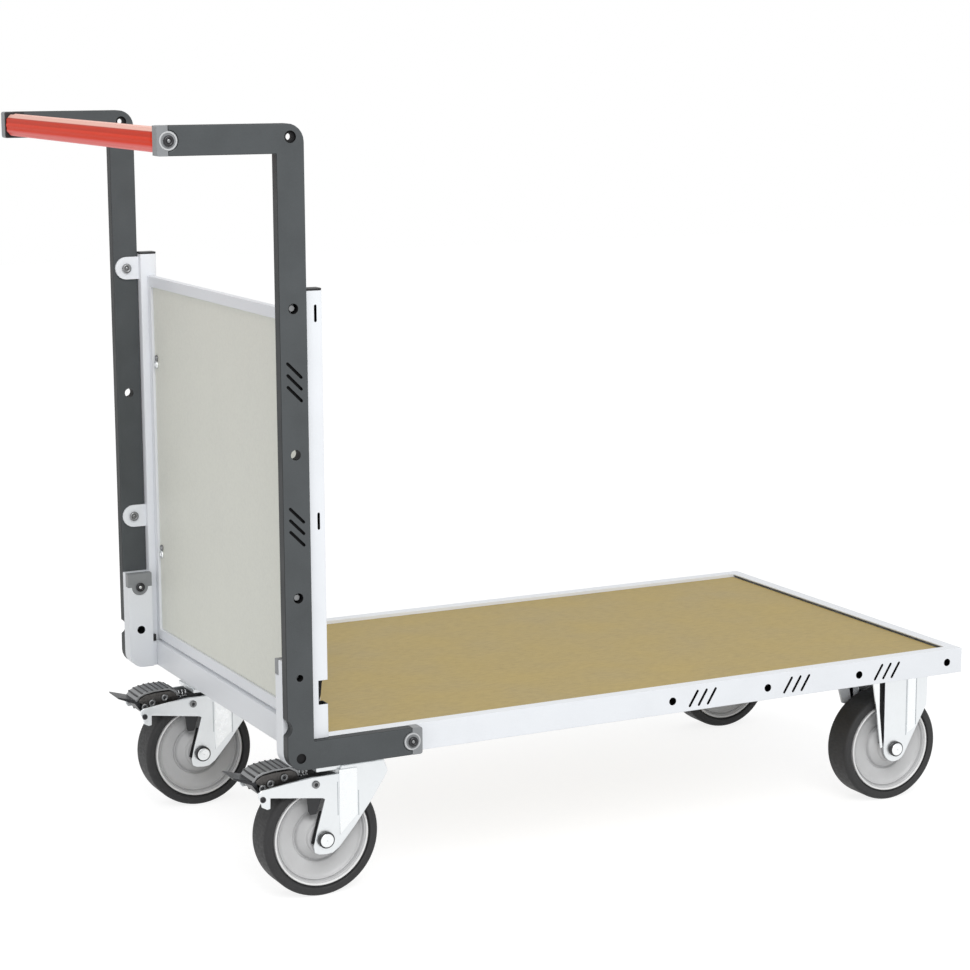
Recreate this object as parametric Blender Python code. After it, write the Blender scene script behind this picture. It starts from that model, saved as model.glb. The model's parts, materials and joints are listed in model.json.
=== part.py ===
"""Folding platform cart: a welded platform on four casters with a fold-over push bar.

Metres, +Z up.  X runs along the platform: the handle is at -X and the open end at +X.
Y runs across it, and the near side is -Y.  The floor is z = 0, and the origin is on the
floor under the middle of the bounding box.
"""
import math

import bmesh
import bpy
from mathutils import Vector
from mathutils.geometry import tessellate_polygon

# ---------------------------------------------------------------- driving dimensions
GAP = 0.0003                      # clearance between pieces that touch or rest on each other

WHEEL_RADIUS = 0.080
WHEEL_WIDTH = 0.048
RIM_RADIUS = 0.066
CASTER_HEIGHT = 0.195             # floor to the underside of the frame

OVERALL_LENGTH = 1.208
FRAME_HALF_WIDTH = 0.304          # middle of the platform to the outer face of a side rail
RAIL_HEIGHT = 0.036
RAIL_DEPTH = 0.018
RAIL_WALL = 0.0025
DECK_DROP = 0.005                 # deck top below the rail top
DECK_THICKNESS = 0.012

BRACKET_WIDTH = 0.036
BRACKET_THICKNESS = 0.016
BRACKET_TOP = 1.000
ARM_REACH = 0.150                 # upper and lower arm, beyond the post's faces
CAP_SETBACK = 0.014               # end of a capped profile to the centre of its screw
CAP_BOSS_RADIUS = 0.012
GRIP_HALF_DEPTH = 0.0132
GRIP_HALF_HEIGHT = 0.0150
GRIP_RIDGE = 0.03                 # ridge height as a share of the grip's half size

UPRIGHT_WIDTH = 0.0237            # along the platform
UPRIGHT_DEPTH = 0.018             # across it
UPRIGHT_FACE = 0.310              # middle of the platform to the outer face of an upright
UPRIGHT_WALL = 0.002
UPRIGHT_TOP = 0.797
TAB_SHEET = 0.0034                # inner face of a tab, in from the outer face of a side rail
PANEL_TOP = 0.766
PANEL_BOTTOM = 0.235
PANEL_SETBACK = 0.004             # outer face of the end rail to that of the panel frame
END_RAIL_SETBACK = 0.006          # post to the outer face of the handle end rail
PANEL_BAR = 0.015                 # width of the frame's top and bottom bars
PANEL_SIDE_BAR = 0.012
PANEL_FRAME_DEPTH = 0.011
PANEL_BOARD_INSET = 0.0035
PANEL_BOARD_DEPTH = 0.006

STUB_DEPTH = 0.022
STUB_TOP = 0.335
STUB_SCREW_Z = 0.315

HOLE_PITCH = 0.180                # hole spacing up the post
RAIL_HOLE_PITCH = 0.154
RAIL_END_OFFSET = 0.026
SLOT_OFFSETS = (-0.0145, 0.0, 0.0145)   # three parallel slots in each group
SLOT_WIDTH = 0.0036
SLOT_DEPTH = 0.005

CASTER_INSET = 0.078              # side rail's outer face to the middle of a wheel
SWIVEL_AXIS_X = -0.326
SWIVEL_TRAIL = 0.054
FIXED_AXLE_X = 0.521
FIXED_PLATE_X = 0.512
PLATE_SIZE = (0.140, 0.110)
PLATE_THICKNESS = 0.0047
FORK_INNER = 0.0315               # middle of the wheel to the inner face of a fork leg
FORK_SHEET = 0.0035
KING_PIN_RADIUS = 0.006
PEDAL_HALF_WIDTH = 0.021
PEDAL_PIN = (-0.463, 0.150)       # x and z of the pin the brake pedal turns on

# ---------------------------------------------------------------- derived places
LEFT = -OVERALL_LENGTH / 2
RIGHT = OVERALL_LENGTH / 2
POST_LEFT = LEFT + ARM_REACH
POST_RIGHT = POST_LEFT + BRACKET_WIDTH
POST_X = (POST_LEFT + POST_RIGHT) / 2
BASE = CASTER_HEIGHT
RAIL_TOP = BASE + RAIL_HEIGHT
LOWER_ARM_END = POST_RIGHT + ARM_REACH
PIVOT = (LOWER_ARM_END - CAP_SETBACK, BASE + BRACKET_WIDTH / 2)   # x and z of the fold axis
CORNER_HOLE = 0.016
LOWEST_POST_HOLE = 0.417
UPRIGHT_LEFT = POST_RIGHT + GAP
UPRIGHT_RIGHT = UPRIGHT_LEFT + UPRIGHT_WIDTH
UPRIGHT_SLOT_X = UPRIGHT_RIGHT - 0.009
END_RAIL_X = POST_RIGHT + END_RAIL_SETBACK
PANEL_X = END_RAIL_X + PANEL_SETBACK
INNER_HALF_WIDTH = FRAME_HALF_WIDTH - RAIL_DEPTH
DECK_TOP = RAIL_TOP - DECK_DROP
HANDLE_Z = BRACKET_TOP - BRACKET_WIDTH / 2
HANDLE_X = LEFT + CAP_SETBACK
CASTER_Y = FRAME_HALF_WIDTH - CASTER_INSET
SWIVEL_AXLE_X = SWIVEL_AXIS_X - SWIVEL_TRAIL
PLATE_BOTTOM = BASE - GAP - PLATE_THICKNESS
CROWN_BOTTOM = 0.168
CROWN_TOP = 0.176

SIDES = {"near": -1, "far": 1}


# ---------------------------------------------------------------- general helpers
def clear_scene():
    for obj in list(bpy.data.objects):
        bpy.data.objects.remove(obj, do_unlink=True)


def material(name, color, roughness, metallic=0.0):
    mat = bpy.data.materials.get(name) or bpy.data.materials.new(name)
    mat.use_nodes = True
    shader = mat.node_tree.nodes["Principled BSDF"]
    shader.inputs["Base Color"].default_value = (*color, 1.0)
    shader.inputs["Roughness"].default_value = roughness
    shader.inputs["Metallic"].default_value = metallic
    mat.diffuse_color = (*color, 1.0)
    return mat


def empty(name, location, parent=None):
    """An axis for a moving group; location is in world coordinates."""
    obj = bpy.data.objects.new(name, None)
    bpy.context.scene.collection.objects.link(obj)
    attach(obj, parent)
    obj.location = Vector(location) - world_place(parent)
    return obj


def world_place(obj):
    place = Vector((0.0, 0.0, 0.0))
    while obj is not None:
        place += obj.location
        obj = obj.parent
    return place


def attach(obj, parent):
    if parent is not None:
        obj.parent = parent


def mesh_object(name, bm, mat, origin=(0.0, 0.0, 0.0), parent=None, smooth=False):
    """Turn a bmesh built in world coordinates into an object whose origin is origin."""
    bmesh.ops.remove_doubles(bm, verts=bm.verts, dist=1e-7)
    bmesh.ops.recalc_face_normals(bm, faces=bm.faces)
    bmesh.ops.translate(bm, verts=bm.verts, vec=-Vector(origin))
    mesh = bpy.data.meshes.new(name)
    bm.to_mesh(mesh)
    bm.free()
    mesh.materials.append(mat)
    obj = bpy.data.objects.new(name, mesh)
    bpy.context.scene.collection.objects.link(obj)
    attach(obj, parent)
    obj.location = Vector(origin) - world_place(parent)
    if smooth:
        for poly in mesh.polygons:
            poly.use_smooth = len(poly.vertices) == 4
    return obj


def combine(obj, tool, operation):
    """Boolean a helper solid into obj; the helper stays in the file as a hidden wire."""
    tool.hide_render = True
    tool.display_type = "WIRE"
    modifier = obj.modifiers.new(operation.title(), "BOOLEAN")
    modifier.operation = operation
    modifier.solver = "EXACT"
    modifier.object = tool


# ---------------------------------------------------------------- outlines
def arc(cx, cy, radius, start, end, steps):
    """Points on an arc, with the angles in degrees."""
    angles = [math.radians(start + (end - start) * i / steps) for i in range(steps + 1)]
    return [(cx + radius * math.cos(a), cy + radius * math.sin(a)) for a in angles]


def circle(cx, cy, radius, steps=20, start=5):
    return arc(cx, cy, radius, start, start + 360 * (steps - 1) / steps, steps - 1)


def rounded_rectangle(x0, y0, x1, y1, radius, steps=3):
    corners = (
        (x1 - radius, y0 + radius, -90),
        (x1 - radius, y1 - radius, 0),
        (x0 + radius, y1 - radius, 90),
        (x0 + radius, y0 + radius, 180),
    )
    points = []
    for cx, cy, start in corners:
        points += arc(cx, cy, radius, start, start + 90, steps)
    return points


def slanted_slot(cx, cy, length, width, lean, steps=3):
    """A round-ended slot; lean is its angle from vertical in degrees."""
    angle = math.radians(90 - lean)
    reach = (length - width) / 2
    dx = math.cos(angle) * reach
    dy = math.sin(angle) * reach
    turn = 90 - lean
    upper = arc(cx + dx, cy + dy, width / 2, turn - 90, turn + 90, steps)
    lower = arc(cx - dx, cy - dy, width / 2, turn + 90, turn + 270, steps)
    return upper + lower


# ---------------------------------------------------------------- solids
def oriented(axis, u, v, w):
    """Plane coordinates u and v plus depth w, for a slab that is thick along axis."""
    return {"X": (w, u, v), "Y": (u, w, v), "Z": (u, v, w)}[axis]


def add_slab(bm, outline, low, high, axis, holes=()):
    """A flat solid with the given outline and through holes, from low to high on axis."""
    loops = [list(outline)] + [list(hole) for hole in holes]
    rings = []
    for loop in loops:
        bottom = [bm.verts.new(oriented(axis, u, v, low)) for u, v in loop]
        top = [bm.verts.new(oriented(axis, u, v, high)) for u, v in loop]
        rings.append((bottom, top))
        for i in range(len(loop)):
            j = (i + 1) % len(loop)
            bm.faces.new((bottom[i], bottom[j], top[j], top[i]))
    flat = [[Vector((u, v, 0.0)) for u, v in loop] for loop in loops]
    triangles = tessellate_polygon(flat)
    for level in (0, 1):
        verts = [vert for ring in rings for vert in ring[level]]
        for triangle in triangles:
            bm.faces.new([verts[i] for i in triangle])


def slab(name, outline, low, high, axis, mat, holes=(), **where):
    bm = bmesh.new()
    add_slab(bm, outline, low, high, axis, holes)
    return mesh_object(name, bm, mat, **where)


def add_lathe(bm, profile, center, steps, axis="Y"):
    """Revolve a closed (radius, along) profile about a line through center."""
    cx, cy, cz = center
    rings = []
    for i in range(steps):
        a = 2 * math.pi * i / steps
        ring = []
        for radius, along in profile:
            if axis == "Y":
                place = (cx + radius * math.cos(a), cy + along, cz + radius * math.sin(a))
            else:
                place = (cx + radius * math.cos(a), cy + radius * math.sin(a), cz + along)
            ring.append(bm.verts.new(place))
        rings.append(ring)
    count = len(profile)
    for i in range(steps):
        a = rings[i]
        b = rings[(i + 1) % steps]
        for j in range(count):
            k = (j + 1) % count
            on_axis = profile[j][0] == 0 and profile[k][0] == 0
            if not on_axis:
                bm.faces.new((a[j], a[k], b[k], b[j]))


def lathe(name, profile, center, mat, steps=32, axis="Y", **where):
    bm = bmesh.new()
    add_lathe(bm, profile, center, steps, axis)
    return mesh_object(name, bm, mat, smooth=True, **where)


def span(side, inner, outer):
    """Y range between two distances from the middle, on the given side, low first."""
    return tuple(sorted((side * inner, side * outer)))


# ---------------------------------------------------------------- platform
def side_rail(name, side, mats):
    """Hollow rail with round holes and slanted slots through its outer wall."""
    y0, y1 = span(side, INNER_HALF_WIDTH, FRAME_HALF_WIDTH)
    section = [(y0, BASE), (y1, BASE), (y1, RAIL_TOP), (y0, RAIL_TOP)]
    rail = slab(name, section, POST_RIGHT + GAP, RIGHT, "X", mats["frame"])

    pocket = bmesh.new()
    p0, p1 = span(side, INNER_HALF_WIDTH + RAIL_WALL, FRAME_HALF_WIDTH - RAIL_WALL)
    section = [(p0, BASE + RAIL_WALL), (p1, BASE + RAIL_WALL),
               (p1, RAIL_TOP - RAIL_WALL), (p0, RAIL_TOP - RAIL_WALL)]
    add_slab(pocket, section, POST_RIGHT + RAIL_WALL, RIGHT - RAIL_WALL, "X")
    combine(rail, mesh_object(name + "_pocket_tool", pocket, mats["frame"]), "DIFFERENCE")

    holes = bmesh.new()
    h0, h1 = span(side, FRAME_HALF_WIDTH - 0.006, FRAME_HALF_WIDTH + 0.004)
    hole_z = BASE + 0.017
    for number in range(4):
        x = RIGHT - RAIL_END_OFFSET - number * RAIL_HOLE_PITCH
        add_slab(holes, circle(x, hole_z, 0.0055, 16), h0, h1, "Y")
        if number > 0:
            for offset in SLOT_OFFSETS:
                slot = slanted_slot(x + 0.048 + offset, hole_z, 0.027, SLOT_WIDTH, 32)
                add_slab(holes, slot, h0, h1, "Y")
    combine(rail, mesh_object(name + "_holes_tool", holes, mats["frame"]), "DIFFERENCE")


def end_rail(name, web_x, open_toward, mats):
    """U-shaped rail across the platform between the side rails."""
    inner_x = web_x + open_toward * RAIL_DEPTH
    wall_x = web_x + open_toward * RAIL_WALL
    low = BASE + RAIL_WALL
    high = RAIL_TOP - RAIL_WALL
    section = [(web_x, BASE), (inner_x, BASE), (inner_x, low), (wall_x, low),
               (wall_x, high), (inner_x, high), (inner_x, RAIL_TOP), (web_x, RAIL_TOP)]
    reach = INNER_HALF_WIDTH - GAP
    slab(name, section, -reach, reach, "Y", mats["frame"])


def deck(mats):
    x0 = END_RAIL_X + RAIL_DEPTH + GAP
    x1 = RIGHT - RAIL_DEPTH - GAP
    reach = INNER_HALF_WIDTH - GAP
    outline = rounded_rectangle(x0, -reach, x1, reach, 0.001, 1)
    slab("deck_board", outline, DECK_TOP - DECK_THICKNESS, DECK_TOP, "Z", mats["deck"])


def cross_member(name, x0, x1, mats):
    """Downward-open channel under the deck that a pair of casters bolts to."""
    wall = 0.003
    top = DECK_TOP - DECK_THICKNESS - GAP
    section = [(x0, BASE), (x0 + wall, BASE), (x0 + wall, top - wall), (x1 - wall, top - wall),
               (x1 - wall, BASE), (x1, BASE), (x1, top), (x0, top)]
    reach = INNER_HALF_WIDTH - GAP
    slab(name, section, -reach, reach, "Y", mats["frame"])


def corner_stub(label, side, mats):
    """Corner block whose outer half rises beside a plastic cap, and the cap's screw."""
    inner, middle = FRAME_HALF_WIDTH - STUB_DEPTH, FRAME_HALF_WIDTH - STUB_DEPTH / 2
    y0, y1 = span(side, inner, middle + 0.001)
    notch = CAP_BOSS_RADIUS + GAP
    radius = 0.020
    outline = arc(POST_LEFT + radius, BASE + radius, radius, 180, 270, 6)
    outline += [(POST_RIGHT, BASE), (POST_RIGHT, STUB_SCREW_Z)]
    outline += arc(POST_X, STUB_SCREW_Z, notch, 0, -180, 10)
    outline += [(POST_LEFT, STUB_SCREW_Z)]
    hole = circle(POST_X, 0.251, 0.006, 16)
    stub = slab("corner_stub_" + label, outline, y0, y1, "Y", mats["frame"], [hole])
    tall = arc(POST_LEFT + radius, BASE + radius, radius, 180, 270, 6)
    tall += [(POST_RIGHT, BASE), (POST_RIGHT, STUB_TOP), (POST_LEFT, STUB_TOP)]
    thread = circle(POST_X, STUB_SCREW_Z, 0.0035, 12)
    y0, y1 = span(side, middle, FRAME_HALF_WIDTH)
    combine(stub, slab("stub_tall_" + label + "_tool", tall, y0, y1, "Y", mats["frame"], [hole, thread]), "UNION")

    base = STUB_SCREW_Z + GAP
    cap = [(POST_RIGHT, base), (POST_RIGHT, STUB_TOP), (POST_LEFT, STUB_TOP), (POST_LEFT, base)]
    cap += arc(POST_X, STUB_SCREW_Z, CAP_BOSS_RADIUS, 180, 360, 10)
    y0, y1 = span(side, inner, middle - GAP)
    slab("stub_cap_" + label, cap, y0, y1, "Y", mats["cap"], [thread])
    screw("stub_screw_" + label, POST_X, STUB_SCREW_Z, side * inner, side, 0.020, mats)


def screw(name, x, z, face_y, into, length, mats, head=0.0065, shank=0.003, origin=None, parent=None):
    """Domed screw with its head seated on face_y, pointing along into (+1 or -1)."""
    seat = -into * GAP
    profile = [(0.0, seat - into * 0.0042), (head * 0.5, seat - into * 0.0040),
               (head, seat - into * 0.0024), (head, seat), (shank, seat),
               (shank, into * length), (0.0, into * length)]
    place = origin or (x, face_y, z)
    lathe(name, profile, (x, face_y, z), mats["screw"], 14, parent=parent, origin=place)


# ---------------------------------------------------------------- push bar
def bracket_outline():
    """Z shape: the upper arm reaches back to the handle, the lower arm runs along the rail."""
    top = BRACKET_TOP
    radius = 0.022
    notch = CAP_BOSS_RADIUS + GAP
    lower_z = BASE + BRACKET_WIDTH / 2
    handle_end = HANDLE_X + GAP
    arm_end = LOWER_ARM_END - CAP_SETBACK - GAP
    points = [(handle_end, top), (handle_end, HANDLE_Z + notch)]
    points += arc(handle_end, HANDLE_Z, notch, 90, -90, 10)[1:]
    points += [(handle_end, top - BRACKET_WIDTH), (POST_LEFT, top - BRACKET_WIDTH)]
    points += arc(POST_LEFT - 0.005, 0.251, 0.0115, 63, -63, 6)
    points += arc(POST_LEFT + radius, BASE + radius, radius, 180, 270, 6)
    points += [(arm_end, BASE), (arm_end, lower_z - notch)]
    points += arc(arm_end, lower_z, notch, 270, 90, 10)[1:]
    points += [(arm_end, RAIL_TOP), (POST_RIGHT, RAIL_TOP)]
    points += arc(POST_RIGHT - radius, top - radius, radius, 0, 90, 6)
    return points


def bracket_holes():
    holes = [circle(POST_X, BRACKET_TOP - CORNER_HOLE, 0.0075, 16),
             circle(POST_X, BASE + CORNER_HOLE, 0.0065, 16),
             circle(POST_X, STUB_SCREW_Z, 0.0045, 12)]
    for number in range(3):
        holes.append(circle(POST_X, LOWEST_POST_HOLE + number * HOLE_PITCH, 0.0065, 16))
    return holes


def cut_bracket_slots(bracket, label, side, mats):
    """Two groups of slanted slots in the post's outer face."""
    tool = bmesh.new()
    outer = FRAME_HALF_WIDTH + BRACKET_THICKNESS
    y0, y1 = span(side, outer - SLOT_DEPTH, outer + 0.002)
    for number in range(2):
        middle = LOWEST_POST_HOLE + (number + 0.5) * HOLE_PITCH
        for offset in SLOT_OFFSETS:
            slot = slanted_slot(POST_X, middle + offset, 0.029, SLOT_WIDTH, -45)
            add_slab(tool, slot, y0, y1, "Y")
    combine(bracket, mesh_object("slots_" + label + "_tool", tool, mats["bracket"]), "DIFFERENCE")


def end_cap(name, x_end, toward, z, side, mats, parent, origin):
    """Plastic plug that closes an arm, with a half-round boss for its screw."""
    centre = x_end + toward * CAP_SETBACK
    half = BRACKET_WIDTH / 2
    y0, y1 = span(side, FRAME_HALF_WIDTH + GAP, FRAME_HALF_WIDTH + BRACKET_THICKNESS)
    corner = 0.003
    outline = arc(x_end + toward * corner, z + half - corner, corner, 90, 90 + toward * 90, 3)
    outline += arc(x_end + toward * corner, z - half + corner, corner,
                   180 if toward > 0 else 0, 270 if toward > 0 else -90, 3)
    outline += [(centre, z - half)]
    outline += arc(centre, z, CAP_BOSS_RADIUS, -90, -90 + toward * 180, 10)
    outline += [(centre, z + half)]
    bore = circle(centre, z, 0.0035, 12)
    slab(name, outline, y0, y1, "Y", mats["cap"], [bore], parent=parent, origin=origin)


def side_bracket(label, side, mats, pivot):
    origin = (PIVOT[0], 0.0, PIVOT[1])
    where = {"parent": pivot, "origin": origin}
    y0, y1 = span(side, FRAME_HALF_WIDTH + GAP, FRAME_HALF_WIDTH + BRACKET_THICKNESS)
    bracket = slab("side_bracket_" + label, bracket_outline(), y0, y1, "Y", mats["bracket"],
                   bracket_holes(), **where)
    cut_bracket_slots(bracket, label, side, mats)
    end_cap("handle_cap_" + label, LEFT, 1, HANDLE_Z, side, mats, pivot, origin)
    end_cap("pivot_cap_" + label, LOWER_ARM_END, -1, BASE + BRACKET_WIDTH / 2, side, mats, pivot, origin)
    outer = side * (FRAME_HALF_WIDTH + BRACKET_THICKNESS)
    screw("handle_screw_" + label, HANDLE_X, HANDLE_Z, outer, -side, 0.034, mats, **where)
    screw("pivot_bolt_" + label, PIVOT[0], PIVOT[1], outer, -side, 0.0155, mats)


def handle(mats, pivot):
    """Steel tube between the brackets inside a ridged plastic grip."""
    origin = (PIVOT[0], 0.0, PIVOT[1])
    reach = FRAME_HALF_WIDTH - GAP
    tube = [(0.0034, -reach), (0.0100, -reach), (0.0100, reach), (0.0034, reach)]
    lathe("handle_tube", tube, (HANDLE_X, 0.0, HANDLE_Z), mats["steel"], 24, parent=pivot, origin=origin)
    steps = 48
    outline = []
    for i in range(steps):
        a = 2 * math.pi * i / steps
        square = (abs(math.cos(a)) ** 4 + abs(math.sin(a)) ** 4) ** -0.25
        radius = square ** 0.6 + GRIP_RIDGE * math.cos(12 * a)
        outline.append((HANDLE_X + GRIP_HALF_DEPTH * radius * math.cos(a),
                        HANDLE_Z + GRIP_HALF_HEIGHT * radius * math.sin(a)))
    bore = circle(HANDLE_X, HANDLE_Z, 0.0100 + GAP, 24)
    slab("handle_grip", outline, -reach + 0.002, reach - 0.002, "Y", mats["grip"], [bore],
         parent=pivot, origin=origin)


def upright(label, side, mats, pivot):
    """Square tube beside the post, with two screwed tabs, a notch and two narrow slots."""
    origin = (PIVOT[0], 0.0, PIVOT[1])
    where = {"parent": pivot, "origin": origin}
    foot = RAIL_TOP + GAP
    y0, y1 = span(side, UPRIGHT_FACE - UPRIGHT_DEPTH, UPRIGHT_FACE)
    section = rounded_rectangle(UPRIGHT_LEFT, y0, UPRIGHT_RIGHT, y1, 0.0013, 2)
    hollow = rounded_rectangle(UPRIGHT_LEFT + UPRIGHT_WALL, y0 + UPRIGHT_WALL,
                               UPRIGHT_RIGHT - UPRIGHT_WALL, y1 - UPRIGHT_WALL, 0.001, 1)
    post = slab("upright_" + label, section, foot, UPRIGHT_TOP, "Z", mats["frame"], [hollow], **where)

    tabs = bmesh.new()
    t0, t1 = span(side, FRAME_HALF_WIDTH - TAB_SHEET, FRAME_HALF_WIDTH - GAP)
    for z in (LOWEST_POST_HOLE, LOWEST_POST_HOLE + 2 * HOLE_PITCH):
        outline = [(UPRIGHT_LEFT + 0.0015, z - 0.016), (UPRIGHT_LEFT + 0.0015, z + 0.016)]
        outline += arc(POST_X, z, 0.016, 90, 270, 10)
        add_slab(tabs, outline, t0, t1, "Y", [circle(POST_X, z, 0.0042, 12)])
    combine(post, mesh_object("tabs_" + label + "_tool", tabs, mats["frame"]), "UNION")

    cuts = bmesh.new()
    notch = [(UPRIGHT_RIGHT - 0.013, 0.275), (UPRIGHT_RIGHT + 0.002, 0.275),
             (UPRIGHT_RIGHT + 0.002, 0.306), (UPRIGHT_RIGHT - 0.013, 0.306)]
    add_slab(cuts, notch, y0 - 0.002, y1 + 0.002, "Y")
    face0, face1 = span(side, UPRIGHT_FACE - UPRIGHT_WALL - 0.001, UPRIGHT_FACE + 0.002)
    for z in (0.510, 0.769):
        slot = slanted_slot(UPRIGHT_SLOT_X, z, 0.022, 0.0034, 0)
        add_slab(cuts, slot, face0, face1, "Y")
    combine(post, mesh_object("notches_" + label + "_tool", cuts, mats["frame"]), "DIFFERENCE")

    plug(label, (UPRIGHT_LEFT + UPRIGHT_RIGHT) / 2, (y0 + y1) / 2, mats, where)
    for place, z in (("lower", LOWEST_POST_HOLE), ("upper", LOWEST_POST_HOLE + 2 * HOLE_PITCH)):
        inner = side * (FRAME_HALF_WIDTH - TAB_SHEET)
        screw("tab_screw_" + label + "_" + place, POST_X, z, inner, side, 0.014, mats,
              head=0.007, shank=0.0038, **where)


def plug(label, cx, cy, mats, where):
    """Black plastic plug in the top of an upright: a spigot under a wider lid."""
    half_x, half_y = UPRIGHT_WIDTH / 2, UPRIGHT_DEPTH / 2
    spigot = -UPRIGHT_WALL - GAP - 0.001
    top = UPRIGHT_TOP + GAP
    levels = ((top - 0.010, spigot), (top, spigot), (top, 0.0), (top + 0.0025, 0.0))
    bm = bmesh.new()
    rings = []
    for z, grow in levels:
        reach_x, reach_y = half_x + grow, half_y + grow
        outline = rounded_rectangle(cx - reach_x, cy - reach_y, cx + reach_x, cy + reach_y, 0.0015, 1)
        rings.append([bm.verts.new((x, y, z)) for x, y in outline])
    for low, high in zip(rings, rings[1:]):
        for i in range(len(low)):
            j = (i + 1) % len(low)
            bm.faces.new((low[i], low[j], high[j], high[i]))
    bm.faces.new(rings[0])
    bm.faces.new(rings[-1])
    mesh_object("upright_plug_" + label, bm, mats["plug"], **where)


def panel(mats, pivot):
    """End panel between the uprights: a board recessed in a welded rectangular frame."""
    where = {"parent": pivot, "origin": (PIVOT[0], 0.0, PIVOT[1])}
    reach = UPRIGHT_FACE - UPRIGHT_DEPTH - GAP
    inner = reach - PANEL_SIDE_BAR
    low = PANEL_BOTTOM + PANEL_BAR
    high = PANEL_TOP - PANEL_BAR
    outline = rounded_rectangle(-reach, PANEL_BOTTOM, reach, PANEL_TOP, 0.001, 1)
    window = rounded_rectangle(-inner, low, inner, high, 0.0012, 1)
    slab("panel_frame", outline, PANEL_X, PANEL_X + PANEL_FRAME_DEPTH, "X", mats["frame"], [window], **where)
    board = rounded_rectangle(-inner + GAP, low + GAP, inner - GAP, high - GAP, 0.0014, 1)
    face = PANEL_X + PANEL_BOARD_INSET
    slab("panel_board", board, face, face + PANEL_BOARD_DEPTH, "X", mats["panel"], **where)


# ---------------------------------------------------------------- casters
def wheel(label, axle_x, y, mats, spin):
    """Grey plastic rim with its hub and a solid tyre; both turn about the axle."""
    centre = (axle_x, y, WHEEL_RADIUS)
    where = {"parent": spin, "origin": centre}
    half = WHEEL_WIDTH / 2
    seat = RIM_RADIUS + GAP
    shoulder = 0.007
    tread = WHEEL_RADIUS
    tyre = [(seat, -half), (tread - shoulder, -half), (tread - 0.0018, -half + 0.0035),
            (tread, -half + 0.010), (tread, half - 0.010), (tread - 0.0018, half - 0.0035),
            (tread - shoulder, half), (seat, half)]
    lathe("tyre_" + label, tyre, centre, mats["tyre"], 40, **where)
    face = half - 0.003
    side = [(0.0085, 0.0265), (0.019, 0.0265), (0.022, 0.020), (0.024, 0.006), (0.054, 0.006),
            (0.060, face), (RIM_RADIUS, face)]
    rim = side + [(radius, -along) for radius, along in reversed(side)]
    lathe("rim_" + label, rim, centre, mats["rim"], 40, **where)


def axle_bolt(label, axle_x, y, side, mats, parent):
    """Bolt through both fork legs: a shouldered head outside and a nut inside."""
    outer = FORK_INNER + FORK_SHEET + GAP
    profile = [(0.0, outer + 0.0065), (0.0060, outer + 0.0065), (0.0100, outer + 0.0040),
               (0.0100, outer), (0.0060, outer), (0.0060, -outer), (0.0095, -outer),
               (0.0095, -outer - 0.0060), (0.0, -outer - 0.0060)]
    profile = [(radius, side * along) for radius, along in profile]
    centre = (axle_x, y, WHEEL_RADIUS)
    lathe("axle_bolt_" + label, profile, centre, mats["steel"], 16, parent=parent, origin=centre)


def caster_plate_outline(x, y):
    half_x, half_y = PLATE_SIZE[0] / 2, PLATE_SIZE[1] / 2
    outline = rounded_rectangle(x - half_x, y - half_y, x + half_x, y + half_y, 0.010, 3)
    holes = [circle(x + sx * (half_x - 0.0175), y + sy * (half_y - 0.0125), 0.0055, 12, 10 + 3 * sx + 5 * sy)
             for sx in (-1, 1) for sy in (-1, 1)]
    return outline, holes


def swivel_fork_leg(hooked):
    """Side view of a swivel fork leg: its arm reaches back to the pedal, and may end in a hook."""
    outline = [(-0.290, CROWN_TOP), (-0.292, 0.150), (-0.313, 0.118)]
    outline += arc(SWIVEL_AXLE_X, WHEEL_RADIUS, 0.0205, -38, -180, 8)
    outline += [(-0.389, 0.127), (-0.394, 0.143), (-0.457, 0.142)]
    if hooked:
        outline += [(-0.458, 0.133), (-0.470, 0.134)]
    outline += arc(PEDAL_PIN[0], PEDAL_PIN[1], 0.0085, 190 if hooked else 250, 120, 4)
    outline += [(-0.420, 0.170), (-0.385, CROWN_TOP)]
    return outline


def fork(name, crown, leg_outlines, axle_x, y, mats, parent, origin, holes=()):
    """Pressed fork: a crown slab joined to its -Y and +Y legs, which the axle passes through."""
    bm = bmesh.new()
    outline, low, high, crown_holes = crown
    add_slab(bm, outline, low, high, "Z", crown_holes)
    body = mesh_object(name, bm, mats["zinc"], parent=parent, origin=origin)
    legs = bmesh.new()
    bores = [circle(axle_x, WHEEL_RADIUS, 0.0064, 16), *holes]
    for side, leg in zip((-1, 1), leg_outlines):
        y0, y1 = span(side, FORK_INNER, FORK_INNER + FORK_SHEET)
        add_slab(legs, leg, y + y0, y + y1, "Y", bores)
    combine(body, mesh_object(name + "_legs_tool", legs, mats["zinc"]), "UNION")


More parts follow.
